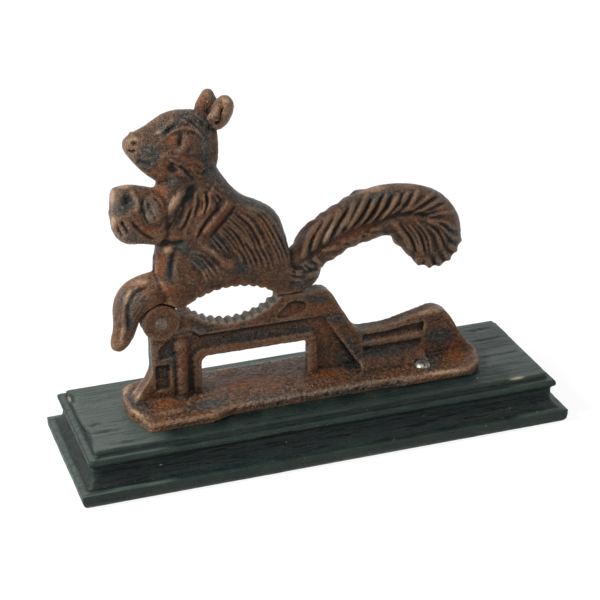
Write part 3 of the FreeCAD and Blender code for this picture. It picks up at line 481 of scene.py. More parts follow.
framePatches = {
    # rust, which here also paints the glow of lit faces in the recesses and on the ribs
    "rustAndLitGlow": (
        (311, 308, 14, 5, -12), (326, 322, 12, 14, 20), (163, 312, 8, 5, 0), (185, 352, 4, 22, 0),
        (290, 312, 12, 4, -10), (225, 345, 18, 3, 0), (160, 402, 18, 8, 0), (250, 383, 30, 5, -9),
        (330, 372, 20, 4, -9), (425, 352, 10, 6, 0), (455, 350, 10, 12, 0),
    ),
    # blue-grey film, which here also paints shade in the recesses, around the screw head and under the
    # flange edge
    "filmAndShade": (
        (240, 338, 36, 4, -10), (170, 360, 5, 14, 0), (385, 350, 26, 5, -8), (352, 350, 5, 14, -25),
        (200, 330, 10, 6, 0), (300, 330, 14, 4, 0), (140, 404, 12, 6, 20), (440, 335, 14, 8, 0),
        (470, 375, 10, 4, 0), (314, 299, 16, 4, 0), (345, 362, 14, 6, 40), (362, 330, 5, 22, -30),
        (430, 362, 8, 10, 0), (336, 318, 16, 5, 0), (422, 364, 6, 5, 0), (345, 391, 36, 6, -9),
        (275, 399, 26, 5, -9), (210, 404, 18, 5, -9), (400, 384, 12, 5, -6), (150, 352, 5, 14, 0),
    ),
    # painted highlights on ridges and along the flange
    "paintedHighlight": (
        (345, 298, 12, 3, 10), (430, 312, 12, 3, -10), (140, 414, 10, 2, 25), (170, 412, 12, 2, -9),
        (445, 372, 20, 2, -6), (140, 398, 4, 5, 0), (262, 352, 10, 2, -8), (360, 315, 3, 12, -30),
    ),
}


# Paints soft patches on the casting for the shader to read; a higher gain gives them a broader solid middle.
def paintPatches(skin, patches, gain=1.5):
    lookAtFace(skin)
    for name, places in patches.items():
        for x, y, wide, high, lean in places:
            mound(skin, (x, y), (wide, high), 1.0, lean=lean, everywhere=True)
        paint(skin, name, np.clip(gain * skin["relief"], 0, 1))
        skin["relief"][:] = 0


def hingePlace():
    return np.array(frame["joints"][0]["pos_m"]) / mm


def fromHinge(skin):
    away = skin["points"] - hingePlace()
    return np.hypot(away[:, 0], away[:, 2])


squirrel = {
    "voxel": 0.62,
    "relaxRounds": 26,
    "heldRelax": 0.04,  # share of the smoothing that the tongue and the teeth still get
    "reliefDepth": 1.25,
    "castRoughness": ((7.0, 0.2, 3), (1.9, 0.13, 5)),  # size, height, seed
    "jawSpan": (10, 66),  # the teeth lie this far from the hinge along x
    "jawTop": 103.0,
    "jawBlend": 4.0,
    "clevisReach": 14.0,
    "gritHeight": (-2.0, 6.0),  # stray grains begin here, measured from the top of the jaw
    "gritFromHinge": (30, 34),
}


def makeSquirrel():
    skin = remeshedCopy("squirrel_lever", "squirrelCasting", squirrel["voxel"])
    skin["dice"] = np.random.default_rng(locks["seed"])
    reach = squirrel["clevisReach"]
    jawTop = squirrel["jawTop"]
    away = fromHinge(skin)
    x, _, z = skin["points"].T  # these follow the points when they move
    first, last = hingePlace()[0] + np.array(squirrel["jawSpan"])
    aboveJaw = stepUp(z, jawTop - squirrel["jawBlend"], jawTop + squirrel["jawBlend"])
    hold = stepUp(away, reach - 1, reach + 4)
    hold = np.where((x > first) & (x < last), hold * aboveJaw, hold)
    relax(skin, squirrel["relaxRounds"], squirrel["heldRelax"] + (1 - squirrel["heldRelax"]) * hold)
    lookAtFace(skin)
    skin["facing"] *= stepUp(away, reach - 1.5, reach + 2)
    for features in (face, ear, paws, foreparts, body, tail):
        carve(skin, features)
    for across, down, lean in tailTufts["places"]:
        mound(skin, (across, down), tailTufts["radii"], tailTufts["height"], lean=lean, everywhere=True)
    clear = stepUp(away, reach, reach + 3)
    skin["relief"] *= clear * squirrel["reliefDepth"]
    pressRelief(skin)
    for size, height, seed in squirrel["castRoughness"]:
        roughen(skin, size, height, seed)
    skin["relief"] *= clear
    pressRelief(skin)
    markCavities(skin)
    paintPatches(skin, squirrelPatches)
    print("squirrel:", len(skin["mesh"].polygons), "faces")
    low, high = jawTop + np.array(squirrel["gritHeight"])
    share = stepUp(skin["points"][:, 2], low, high) * stepUp(fromHinge(skin), *squirrel["gritFromHinge"])
    return skin["piece"], share


jawFrame = {
    "voxel": 0.68,
    "relaxRounds": 9,
    "heldRelax": 0.1,
    "teethRelax": 0.8,  # share of the smoothing that the teeth are spared
    "castRoughness": ((8.0, 0.2, 7), (2.4, 0.18, 9), (1.3, 0.08, 12)),  # size, height, seed
    "flangeRoughness": (1.7, 0.35, 21),
    "flangeHeight": 9.0,
    "clevisReach": 12.0,
    "clevisRoughness": 0.2,
    # the toothed bowl: its middle from the hinge, its radius, and its bright teeth below the hinge
    "bowl": (40.7, 30.6),
    "jawRadius": 36.0,
    "bareFrom": (-12, -8),
    "teethFrom": (-20, -17),  # the teeth are this far below the top
    "teethEnd": -8,
    "gritHeight": 34.0,  # stray grains lie up to here, right of the post
    "gritFrom": (-66, -60),
}


def makeFrameCasting():
    skin = remeshedCopy("jaw_frame", "frameCasting", jawFrame["voxel"])
    x, _, z = skin["points"].T  # these follow the points when they move
    foot, top = (corner[2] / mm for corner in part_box("jaw_frame"))
    hinge = hingePlace()
    away = stepUp(fromHinge(skin), jawFrame["clevisReach"] / 2, jawFrame["clevisReach"])
    held = jawFrame["heldRelax"] + (1 - jawFrame["heldRelax"]) * away
    low, high = top + np.array(jawFrame["teethFrom"])
    teeth = stepUp(z, low, high) * (x < jawFrame["teethEnd"])
    relax(skin, jawFrame["relaxRounds"], held * (1 - jawFrame["teethRelax"] * teeth))
    for size, height, seed in jawFrame["castRoughness"]:
        roughen(skin, size, height, seed)
    smooth = skin["relief"].copy()
    roughen(skin, *jawFrame["flangeRoughness"])
    flange = stepUp(foot + jawFrame["flangeHeight"] - z, 0, 3)
    skin["relief"] = smooth + flange * (skin["relief"] - smooth)
    rough = jawFrame["clevisRoughness"] + (1 - jawFrame["clevisRoughness"]) * away
    skin["relief"] *= rough * stepUp(z, foot + 0.3, foot + 1.5)
    pressRelief(skin)
    markCavities(skin)
    across, up = jawFrame["bowl"]
    fromBowl = np.hypot(x - hinge[0] - across, z - hinge[2] - up) - jawFrame["jawRadius"]
    low, high = hinge[2] + np.array(jawFrame["bareFrom"])
    bare = np.exp(-(fromBowl - 0.3) ** 2) * stepUp(z, low, high)
    paint(skin, "bare", np.clip(1.3 * bare, 0, 1))
    paintPatches(skin, framePatches)
    print("frame casting:", len(skin["mesh"].polygons), "faces")
    share = stepUp(foot + jawFrame["gritHeight"] - z, 0, 4) * stepUp(x, *jawFrame["gritFrom"])
    return skin["piece"], share


plinth = {
    "voxel": 1.0,
    "wear": ((26.0, 0.25, 13), (4.0, 0.14, 15)),  # size, height, seed
    "topDips": 0.5,  # on the top every bump is a dip of this share, so that the castings stand clear
    # cracks along the grain of the top: from x, to x, y in millimetres
    "cracks": (
        (-129, -108, -17), (-122, -96, -31), (-129, -118, -8), (103, 129, 14), (98, 130, -6),
        (106, 126, 27), (-60, -8, -34), (30, 76, -31), (-84, -40, 31), (12, 70, 33),
    ),
    "crackWidth": 0.8,
    "crackDepth": 1.7,
    "crackWander": 0.35,
    "crackBends": 6,
    "crackSeed": 4,
    # knocks on the edge of the top: middle, radii and lean in picture pixels, then the depth in millimetres
    "dents": (
        (70, 398, 6, 3, 60, 1.5), (84, 433, 6, 3, 50, 1.6), (88, 441, 5, 3, 50, 1.2),
        (60, 388, 4, 3, 60, 0.9), (300, 436, 6, 2, -10, 0.5), (200, 460, 5, 2, -10, 0.4),
        (517, 378, 8, 2, -10, 0.5), (432, 399, 5, 2, -10, 0.4),
    ),
    "dentsReach": 3.0,  # below the top
    "chips": ((517, 378, 7, 1.6, -9), (68, 399, 2, 3, 0)),
    # painted sheen: the top is lighter behind the casting and at both ends, in plan
    "sheenBehind": (-24.0, -8.0),
    "sheenLeft": (84.0, 100.0),
    "sheenRight": (104.0, 116.0),
    "sheenRightShare": 0.6,
}


def makePlinth():
    skin = remeshedCopy("wooden_base", "wornPlinth", plinth["voxel"])
    relax(skin, 1, np.ones(len(skin["points"])))
    for size, height, seed in plinth["wear"]:
        roughen(skin, size, height, seed)
    x, y, z = skin["points"].T  # these follow the points when they move
    skin["picture"] = skin["points"][:, :2]
    skin["facing"] = stepUp(skin["normals"][:, 2], 0.7, 0.9)
    dice = np.random.default_rng(plinth["crackSeed"])
    for start, end, middle in plinth["cracks"]:
        bends = np.linspace(start, end, plinth["crackBends"])
        spots = [(bend, middle + dice.normal(0, plinth["crackWander"])) for bend in bends]
        stroke(skin, spots, plinth["crackWidth"], -plinth["crackDepth"], fade=0.3)
    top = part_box("jaw_frame")[0][2] / mm
    dips = -plinth["topDips"] * np.abs(skin["relief"])
    skin["relief"] = np.where(z > top - 0.4, dips, skin["relief"]) * stepUp(z, 0.3, 1.5)
    pressRelief(skin)
    nearTop = stepUp(z, top - plinth["dentsReach"], top - plinth["dentsReach"] / 2)
    skin["picture"] = toPicture(skin["points"])
    for across, down, wide, high, lean, depth in plinth["dents"]:
        mound(skin, (across, down), (wide, high), -depth, lean=lean, everywhere=True)
    skin["relief"] *= nearTop
    pressRelief(skin)
    markCavities(skin)
    for across, down, wide, high, lean in plinth["chips"]:
        mound(skin, (across, down), (wide, high), 1.0, lean=lean, sharp=4, everywhere=True)
    paint(skin, "chip", np.clip(skin["relief"] * nearTop, 0, 1))
    # painted sheen: a lighter grey on the up-facing top
    right = plinth["sheenRightShare"] * stepUp(x, *plinth["sheenRight"])
    paintedSheen = np.maximum(stepUp(y, *plinth["sheenBehind"]), stepUp(-x, *plinth["sheenLeft"]))
    paint(skin, "paintedSheen", np.maximum(paintedSheen, right) * stepUp(skin["normals"][:, 2], 0.9, 0.99))
    print("plinth:", len(skin["mesh"].polygons), "faces")
    return skin["piece"]


# A screen colour, 0 to 255, as the shader wants it.
def colour(red, green, blue):
    channels = []
    for level in (red / 255, green / 255, blue / 255):
        channels.append(level / 12.92 if level <= 0.04045 else ((level + 0.055) / 1.055) ** 2.4)
    return (*channels, 1.0)


def feed(tree, socket, value):
    if isinstance(value, bpy.types.NodeSocket):
        tree.links.new(value, socket)
    else:
        socket.default_value = value


def feedAll(tree, node, wires):
    for name, value in wires.items():
        feed(tree, node.inputs[name], value)


def addNode(tree, kind, wires=None, **settings):
    made = tree.nodes.new(kind)
    for name, value in settings.items():
        setattr(made, name, value)
    feedAll(tree, made, wires or {})
    return made


def mixColour(tree, share, low, high):
    wires = {0: share, 6: low, 7: high}  # sockets 6 and 7 are the two colours, and output 2 their mix
    return addNode(tree, "ShaderNodeMix", wires, data_type="RGBA").outputs[2]


# Lays a colour over the tone where the mask is, at a share of its full strength.
def overlay(tree, tone, mask, share, paintColour):
    return mixColour(tree, times(tree, mask, share), tone, paintColour)


def spread(tree, value, low, high, newLow=0.0, newHigh=1.0):
    wires = {"Value": value, "From Min": low, "From Max": high, "To Min": newLow, "To Max": newHigh}
    return addNode(tree, "ShaderNodeMapRange", wires).outputs["Result"]


# A number that goes from the first end to the second as the mask rises.
def slide(tree, mask, ends):
    return spread(tree, mask, 0.0, 1.0, *ends)


def maths(tree, operation, first, second):
    return addNode(tree, "ShaderNodeMath", {0: first, 1: second}, operation=operation).outputs[0]


def times(tree, first, second):
    return maths(tree, "MULTIPLY", first, second)


# The larger of two masks.
def larger(tree, first, second):
    return maths(tree, "MAXIMUM", first, second)


def clouds(tree, vector, scale, detail, roughness=0.5, distortion=0.0):
    wires = {"Vector": vector, "Scale": scale, "Detail": detail, "Roughness": roughness}
    return addNode(tree, "ShaderNodeTexNoise", {**wires, "Distortion": distortion}).outputs["Fac"]


# A painted number of the mesh.
def readLayer(tree, name):
    return addNode(tree, "ShaderNodeAttribute", attribute_name=name).outputs["Fac"]


# A shader group: an input without a value is a vector, and the other inputs and the outputs are numbers.
def newGroup(name, ins, outs):
    tree = bpy.data.node_groups.new(name, "ShaderNodeTree")
    for label, value in ins.items():
        kind = "NodeSocketVector" if value is None else "NodeSocketFloat"
        socket = tree.interface.new_socket(label, in_out="INPUT", socket_type=kind)
        if value is not None:
            socket.default_value = value
    for label in outs:
        tree.interface.new_socket(label, in_out="OUTPUT", socket_type="NodeSocketFloat")
    return tree, tree.nodes.new("NodeGroupInput").outputs, tree.nodes.new("NodeGroupOutput").inputs


perMetre = 1000.0  # textures scale with the metre, and the sizes given to them are millimetres


# Soft-edged patches; Amount is the share of the surface that they cover.
def makePatches():
    ins = {"Vector": None, "Size mm": 8.0, "Amount": 0.5, "Softness": 0.12}
    tree, given, result = newGroup("patches", ins, ["Mask"])
    scale = maths(tree, "DIVIDE", perMetre, given["Size mm"])
    highest = 0.72  # the noise level that leaves hardly a patch
    drop = 0.44  # how far the level falls to cover nearly everything
    level = maths(tree, "SUBTRACT", highest, times(tree, given["Amount"], drop))
    low = maths(tree, "SUBTRACT", level, given["Softness"])
    high = maths(tree, "ADD", level, given["Softness"])
    mask = spread(tree, clouds(tree, given["Vector"], scale, 5.0, 0.62), low, high)
    feed(tree, result["Mask"], mask)
    return tree


# Height of sand-cast grain: fine bumps, a coarser swell and small pits.
castGrain = {
    "swellScale": 0.28, "swellHeight": 1.3,
    "pitScale": 0.62, "pitEdge": (0.06, 0.3), "pitDepth": 0.5,
}


def makeCastGrain():
    tree, given, result = newGroup("castGrain", {"Vector": None, "Grain mm": 0.8}, ["Height", "Pits"])
    vector = given["Vector"]
    scale = maths(tree, "DIVIDE", perMetre, given["Grain mm"])
    fine = clouds(tree, vector, scale, 3.0, 0.6)
    swell = clouds(tree, vector, times(tree, scale, castGrain["swellScale"]), 2.0)
    wires = {"Vector": vector, "Scale": times(tree, scale, castGrain["pitScale"]), "Randomness": 1.0}
    cells = addNode(tree, "ShaderNodeTexVoronoi", wires)
    pits = spread(tree, cells.outputs["Distance"], *castGrain["pitEdge"], 1.0, 0.0)
    height = maths(tree, "ADD", fine, times(tree, swell, castGrain["swellHeight"]))
    height = maths(tree, "SUBTRACT", height, times(tree, pits, castGrain["pitDepth"]))
    feed(tree, result["Height"], height)
    feed(tree, result["Pits"], pits)
    return tree


# Splits the stored hollow value into crevices and raised edges, both broken up; the iron lightens these
# edges as rubbed metal and as painted highlight.
def makeWear():
    ins = {"Vector": None, "Hollow": 0.0, "Crevice": 0.7, "Edge": 0.7}
    tree, given, result = newGroup("wear", ins, ["Crevice", "Edge"])
    ragged = spread(tree, clouds(tree, given["Vector"], 700.0, 4.0, 0.65), 0.2, 0.8, -0.4, 0.4)
    level = maths(tree, "ADD", given["Hollow"], ragged)
    least = 0.08  # nothing shows below this level
    feed(tree, result["Crevice"], spread(tree, level, least, given["Crevice"]))
    feed(tree, result["Edge"], spread(tree, times(tree, level, -1.0), least, given["Edge"]))
    return tree


# Long grain along X: open pores and broad bands.
woodGrain = {
    "stretch": (0.035, 1.0, 1.0), "poreEdge": (0.43, 0.36),
    "bandScale": 0.13, "bandEdge": (0.35, 0.65),
}


def makeGrain():
    tree, given, result = newGroup("woodGrain", {"Vector": None, "Pores mm": 0.9}, ["Pores", "Bands"])
    wires = {"Vector": given["Vector"], "Scale": woodGrain["stretch"]}
    lengthwise = addNode(tree, "ShaderNodeMapping", wires).outputs["Vector"]
    scale = maths(tree, "DIVIDE", perMetre, given["Pores mm"])
    pores = clouds(tree, lengthwise, scale, 4.0, 0.7)
    bands = clouds(tree, lengthwise, times(tree, scale, woodGrain["bandScale"]), 3.0, distortion=0.4)
    feed(tree, result["Pores"], spread(tree, pores, *woodGrain["poreEdge"]))
    feed(tree, result["Bands"], spread(tree, bands, *woodGrain["bandEdge"]))
    return tree


shared = {
    "patches": makePatches(),
    "castGrain": makeCastGrain(),
    "wear": makeWear(),
    "woodGrain": makeGrain(),
}


def useGroup(tree, name, wires):
    return addNode(tree, "ShaderNodeGroup", wires, node_tree=shared[name]).outputs


def blotches(tree, place, size, amount, softness=0.12):
    wires = {"Vector": place, "Size mm": size, "Amount": amount, "Softness": softness}
    return useGroup(tree, "patches", wires)["Mask"]


def addBump(tree, shader, height, strength, distance):
    wires = {"Height": height, "Strength": strength, "Distance": distance}
    feed(tree, shader.inputs["Normal"], addNode(tree, "ShaderNodeBump", wires).outputs["Normal"])


def newMaterial(name):
    material = bpy.data.materials.new(name)
    material.use_nodes = True
    tree = material.node_tree
    shader = tree.nodes["Principled BSDF"]
    place = addNode(tree, "ShaderNodeTexCoord").outputs["Object"]
    return material, tree, shader, place


# A share is how strongly a layer covers the ones under it.
iron = {
    "brown": colour(84, 54, 31),
    "brownDark": colour(56, 36, 22),
    "soot": colour(30, 23, 18),
    # orange rust, also used for the painted glow of lit faces
    "rust": colour(128, 67, 25),
    # dark blue-grey of the film, also used as painted shade
    "filmAndShadeTone": colour(33, 44, 46),
    "crevice": colour(14, 13, 11),
    # light metal of rubbed high places, also used for painted highlights and glints
    "rubbedAndHighlight": colour(166, 134, 106),
    "bareMetal": colour(142, 130, 115),
    "dark": (9.0, 0.5),  # size, amount
    "rustSize": 14.0,
    "rustAndGlowShares": (0.35, 0.64),  # of the strewn rust patches and of the placed ones, which also paint the glow of lit faces
    "filmSize": 11.0,
    # of the strewn film and of the placed patches, which also paint shade
    "filmAndShadeShares": (0.4, 0.9),
    "speckleSize": 1.5,
    "speckleShare": 0.55,
    "glints": (1.2, 0.34, 0.06),  # painted glints: size, amount, softness
    "glintShare": 0.24,
    "edgeAt": 1.1,
    "edgeShares": (0.26, 0.06),  # on plain places and on the placed rust and glow
    "shineShares": (0.25, 0.8),  # of the painted highlight, away from edges and on them
    "creviceShares": (0.95, 0.35),  # on plain places and on the placed rust and glow
    "pitShare": 0.55,
    "roughness": (0.26, 0.48),
    "edgeGloss": -0.6,
    "filmGloss": -0.3,
    "specular": 0.22,
    "grainDepth": 0.0009,
}
squirrelFinish = {"rust": 0.42, "film": 0.38, "creviceAt": 0.95, "grainSize": 0.75, "speckles": 0.36}
frameFinish = {"rust": 0.45, "film": 0.25, "creviceAt": 1.25, "grainSize": 1.1, "speckles": 0.5}


# Brown cast iron with a rust bloom, blue-grey film, dark crevices and rubbed high places. Painted light: the
# placed rust also paints the glow of lit faces, the placed film paints shade, and glints, edges and the
# placed highlights are lightened as painted highlights.
def makeIron(name, finish):
    material, tree, shader, place = newMaterial(name)
    wires = {"Vector": place, "Location": (0.31, 0.17, 0.23)}
    aside = addNode(tree, "ShaderNodeMapping", wires).outputs["Vector"]
    rustAndLitGlow = readLayer(tree, "rustAndLitGlow")
    filmAndShade = readLayer(tree, "filmAndShade")
    dark = blotches(tree, place, *iron["dark"])
    tone = mixColour(tree, dark, iron["brown"], iron["brownDark"])
    # rust bloom, and over the placed patches also the painted glow of lit faces
    strewn, placed = iron["rustAndGlowShares"]
    bloom = times(tree, blotches(tree, place, iron["rustSize"], finish["rust"]), strewn)
    tone = mixColour(tree, larger(tree, bloom, times(tree, rustAndLitGlow, placed)), tone, iron["rust"])
    # blue-grey film, and painted shade over the placed patches
    strewn, placed = iron["filmAndShadeShares"]
    film = times(tree, blotches(tree, aside, iron["filmSize"], finish["film"]), strewn)
    tone = mixColour(tree, larger(tree, film, times(tree, filmAndShade, placed)), tone, iron["filmAndShadeTone"])
    speckles = blotches(tree, place, iron["speckleSize"], finish["speckles"], softness=0.07)
    tone = overlay(tree, tone, speckles, iron["speckleShare"], iron["soot"])
    # painted glints: light spots strewn over the surface
    glints = blotches(tree, aside, *iron["glints"])
    tone = overlay(tree, tone, glints, iron["glintShare"], iron["rubbedAndHighlight"])
    wires = {"Vector": place, "Hollow": readLayer(tree, "hollow"), "Crevice": finish["creviceAt"]}
    wear = useGroup(tree, "wear", {**wires, "Edge": iron["edgeAt"]})
    # high places lightened, partly as rubbed wear and partly as painted highlight, with the placed painted
    # highlights added in
    rubbedAndHighlight = times(tree, wear["Edge"], slide(tree, rustAndLitGlow, iron["edgeShares"]))
    broken = spread(tree, wear["Edge"], 0.0, 0.6, *iron["shineShares"])
    rubbedAndHighlight = larger(tree, rubbedAndHighlight, times(tree, readLayer(tree, "paintedHighlight"), broken))
    tone = mixColour(tree, rubbedAndHighlight, tone, iron["rubbedAndHighlight"])
    tone = overlay(tree, tone, wear["Crevice"], slide(tree, rustAndLitGlow, iron["creviceShares"]), iron["crevice"])
    tone = mixColour(tree, readLayer(tree, "bare"), tone, iron["bareMetal"])
    grain = useGroup(tree, "castGrain", {"Vector": place, "Grain mm": finish["grainSize"]})
    tone = overlay(tree, tone, grain["Pits"], iron["pitShare"], iron["crevice"])
    gloss = maths(tree, "ADD", dark, times(tree, wear["Edge"], iron["edgeGloss"]))
    gloss = maths(tree, "ADD", gloss, times(tree, filmAndShade, iron["filmGloss"]))
    roughness = slide(tree, gloss, iron["roughness"])
    wires = {"Base Color": tone, "Roughness": roughness, "Specular IOR Level": iron["specular"]}
    feedAll(tree, shader, wires)
    addBump(tree, shader, grain["Height"], 1.0, iron["grainDepth"])
    return material


rivet = {
    "iron": colour(84, 64, 50),
    "dark": colour(44, 34, 27),
    "bare": colour(124, 106, 88),
    "darkPatches": (3.0, 0.5),  # size in millimetres, amount
    "barePatches": (1.6, 0.35),
    "roughness": (0.6, 0.38),
    "metallic": (0.0, 0.35),
    "grainSize": 1.3,
    "grainDepth": 0.0004,
}


# Hammered rivet head: bare grey metal over brown.
def makeRivetIron():
    material, tree, shader, place = newMaterial("rivetIron")
    tone = mixColour(tree, blotches(tree, place, *rivet["darkPatches"]), rivet["iron"], rivet["dark"])
    bare = blotches(tree, place, *rivet["barePatches"])
    wires = {
        "Base Color": mixColour(tree, bare, tone, rivet["bare"]),
        "Roughness": slide(tree, bare, rivet["roughness"]),
        "Metallic": slide(tree, bare, rivet["metallic"]),
    }
    feedAll(tree, shader, wires)
    grain = useGroup(tree, "castGrain", {"Vector": place, "Grain mm": rivet["grainSize"]})
    addBump(tree, shader, grain["Height"], 1.0, rivet["grainDepth"])
    return material


screw = {
    "steel": colour(158, 154, 146),
    "dull": colour(64, 58, 50),
    "tarnish": (2.2, 0.45),  # size in millimetres, amount
    "roughness": (0.28, 0.6),
    "metallic": (0.95, 0.3),
    "scratchTurn": 0.6,
    "scratchStretch": (1.0, 0.08, 1.0),
    "scratchScale": 3200.0,
    "scratchStrength": 0.6,
    "scratchDepth": 0.0001,
}


# Bright steel head with scratches and brown tarnish.
def makeScrewSteel():
    material, tree, shader, place = newMaterial("screwSteel")
    tarnish = blotches(tree, place, *screw["tarnish"])
    wires = {
        "Base Color": mixColour(tree, tarnish, screw["steel"], screw["dull"]),
        "Roughness": slide(tree, tarnish, screw["roughness"]),
        "Metallic": slide(tree, tarnish, screw["metallic"]),
    }
    feedAll(tree, shader, wires)
    turn = (0.0, 0.0, screw["scratchTurn"])
    wires = {"Vector": place, "Scale": screw["scratchStretch"], "Rotation": turn}
    across = addNode(tree, "ShaderNodeMapping", wires).outputs["Vector"]
    scratches = clouds(tree, across, screw["scratchScale"], 2.0)
    addBump(tree, shader, scratches, screw["scratchStrength"], screw["scratchDepth"])
    return material


wood = {
    "stain": colour(14, 31, 32),
    "stainDark": colour(7, 19, 21),
    "worn": colour(42, 56, 45),
    "bare": colour(150, 138, 116),
    "pore": colour(8, 12, 12),
    # grey of the painted sheen on the top
    "paintedSheen": colour(96, 106, 100),
    "poreSize": 0.8,
    "poreShare": 0.55,
    "poreDepth": 0.8,
    "flecks": (1.6, 0.42, 0.08),  # size in millimetres, amount, softness
    "fleckShare": 0.5,
    "dull": (16.0, 0.4),
    "dullShare": 0.42,
    "wearAt": 0.9,
    "edgeShare": 0.35,
    "creviceShare": 0.5,
    "sheenShares": (0.5, 0.15),  # painted sheen, between the pores and in them
    "specks": (3.4, 0.03, 0.015),
    "speckShare": 0.6,
    "roughness": (0.34, 0.48),
    "rubbleSize": 0.9,
    "rubbleDepth": 0.9,
    "bumpStrength": 0.8,
    "grainDepth": 0.0005,
    "specular": 0.2,
}


# Open-grained softwood with a black-green stain, rubbed along its edges, and a painted sheen on the top.
def makeStainedWood():
    material, tree, shader, place = newMaterial("stainedWood")
    grain = useGroup(tree, "woodGrain", {"Vector": place, "Pores mm": wood["poreSize"]})
    tone = mixColour(tree, grain["Bands"], wood["stainDark"], wood["stain"])
    tone = overlay(tree, tone, blotches(tree, place, *wood["flecks"]), wood["fleckShare"], wood["pore"])
    tone = overlay(tree, tone, blotches(tree, place, *wood["dull"]), wood["dullShare"], wood["worn"])
    wires = {"Vector": place, "Hollow": readLayer(tree, "hollow"), "Crevice": wood["wearAt"]}
    wear = useGroup(tree, "wear", {**wires, "Edge": wood["wearAt"]})
    tone = overlay(tree, tone, wear["Edge"], wood["edgeShare"], wood["worn"])
    tone = overlay(tree, tone, wear["Crevice"], wood["creviceShare"], wood["pore"])
    tone = overlay(tree, tone, grain["Pores"], wood["poreShare"], wood["pore"])
    # painted sheen on the top
    sheenShare = slide(tree, grain["Pores"], wood["sheenShares"])
    tone = overlay(tree, tone, readLayer(tree, "paintedSheen"), sheenShare, wood["paintedSheen"])
    tone = overlay(tree, tone, blotches(tree, place, *wood["specks"]), wood["speckShare"], wood["bare"])
    tone = mixColour(tree, readLayer(tree, "chip"), tone, wood["bare"])
    roughness = slide(tree, grain["Bands"], wood["roughness"])
    wires = {"Base Color": tone, "Roughness": roughness, "Specular IOR Level": wood["specular"]}
    feedAll(tree, shader, wires)
    rubble = useGroup(tree, "castGrain", {"Vector": place, "Grain mm": wood["rubbleSize"]})
    height = maths(tree, "SUBTRACT", grain["Bands"], times(tree, grain["Pores"], wood["poreDepth"]))
    height = maths(tree, "ADD", height, times(tree, rubble["Height"], wood["rubbleDepth"]))
    addBump(tree, shader, height, wood["bumpStrength"], wood["grainDepth"])
    return material


grit = {"density": 26000.0, "size": 0.00034, "smallest": 0.35, "seed": 5}  # grains per square metre, metres


# Stray grains of casting sand: points strewn over a casting, each a small faceted grain.
def makeGritTree():
    tree = bpy.data.node_groups.new("strayGrit", "GeometryNodeTree")
    sockets = tree.interface
    ins = {"Geometry": "Geometry", "Density": "Float", "Size": "Float", "Seed": "Int", "Finish": "Material"}
    for label, kind in ins.items():
        sockets.new_socket(label, in_out="INPUT", socket_type=f"NodeSocket{kind}")
    sockets.new_socket("Geometry", in_out="OUTPUT", socket_type="NodeSocketGeometry")
    given = tree.nodes.new("NodeGroupInput").outputs
    result = tree.nodes.new("NodeGroupOutput").inputs
    share = addNode(tree, "GeometryNodeInputNamedAttribute", {"Name": "gritShare"}, data_type="FLOAT")
    density = times(tree, given["Density"], share.outputs["Attribute"])
    wires = {"Mesh": given["Geometry"], "Density": density, "Seed": given["Seed"]}
    strewn = addNode(tree, "GeometryNodeDistributePointsOnFaces", wires).outputs
    # sockets 2 and 3 are the ends of the range, and output 1 is the number drawn
    wires = {"Seed": given["Seed"], 2: grit["smallest"], 3: 1.0}
    size = addNode(tree, "FunctionNodeRandomValue", wires, data_type="FLOAT").outputs[1]
    grain = addNode(tree, "GeometryNodeMeshIcoSphere", {"Radius": 1.0, "Subdivisions": 1})
    wires = {
        "Points": strewn["Points"],
        "Instance": grain.outputs["Mesh"],
        "Rotation": strewn["Rotation"],
        "Scale": times(tree, size, given["Size"]),
    }
    placed = addNode(tree, "GeometryNodeInstanceOnPoints", wires)
    solid = addNode(tree, "GeometryNodeRealizeInstances", {"Geometry": placed.outputs["Instances"]})
    wires = {"Geometry": solid.outputs["Geometry"], "Material": given["Finish"]}
    feed(tree, result["Geometry"], addNode(tree, "GeometryNodeSetMaterial", wires).outputs["Geometry"])
    return tree


gritTree = makeGritTree()


def strewGrit(casting, name, material, share):
    holder = bpy.data.objects.new(name, casting.data.copy())
    bpy.context.collection.objects.link(holder)
    layer = holder.data.attributes.new("gritShare", "FLOAT", "POINT")
    layer.data.foreach_set("value", share.astype(np.float32))
    maker = holder.modifiers.new("grit", "NODES")
    maker.node_group = gritTree
    values = {"Density": grit["density"], "Size": grit["size"], "Seed": grit["seed"], "Finish": material}
    for item in gritTree.interface.items_tree:
        if item.item_type == "SOCKET" and item.in_out == "INPUT" and item.name in values:
            maker[item.identifier] = values[item.name]
    bpy.context.view_layer.update()
    plain = bpy.data.meshes.new_from_object(holder.evaluated_get(bpy.context.evaluated_depsgraph_get()))
    holder.modifiers.remove(maker)
    holder.data = plain
    print(name, len(plain.polygons), "faces")
    return holder


def dress(piece, material):
    piece.data.materials.clear()
    piece.data.materials.append(material)


def dressNode(name, material):
    for place in frame["nodes"][name].material_slots:
        place.material = material


lighting = {
    "world": 0.28,
    "aim": (0.0, 0.0, 0.08),
    "lamps": {
        "key": {"place": (-1.2, -0.1, 1.05), "size": 0.35, "power": 32.0},
        "front": {"place": (-0.5, -1.3, 1.1), "size": 0.4, "power": 4.5},
        "right": {"place": (1.2, -0.4, 0.8), "size": 0.6, "power": 2.5},
    },
}
white = (1.0, 1.0, 1.0, 1.0)
backdrop = {
    "size": 6.0,
    "paper": (0.9, 0.9, 0.9, 1.0),
    "glowShare": 0.82,
    "glowFrom": (0.5, 1.5),  # the glow grows over this distance from the object
    "glow": (1.1, 1.3),
}


def addLamp(name, values):
    lamp = bpy.data.lights.new(name, "AREA")
    lamp.size = values["size"]
    lamp.energy = values["power"]
    holder = bpy.data.objects.new(name, lamp)
    holder.location = values["place"]
    aim = Vector(lighting["aim"]) - holder.location
    holder.rotation_euler = aim.to_track_quat("-Z", "Y").to_euler()
    bpy.context.collection.objects.link(holder)


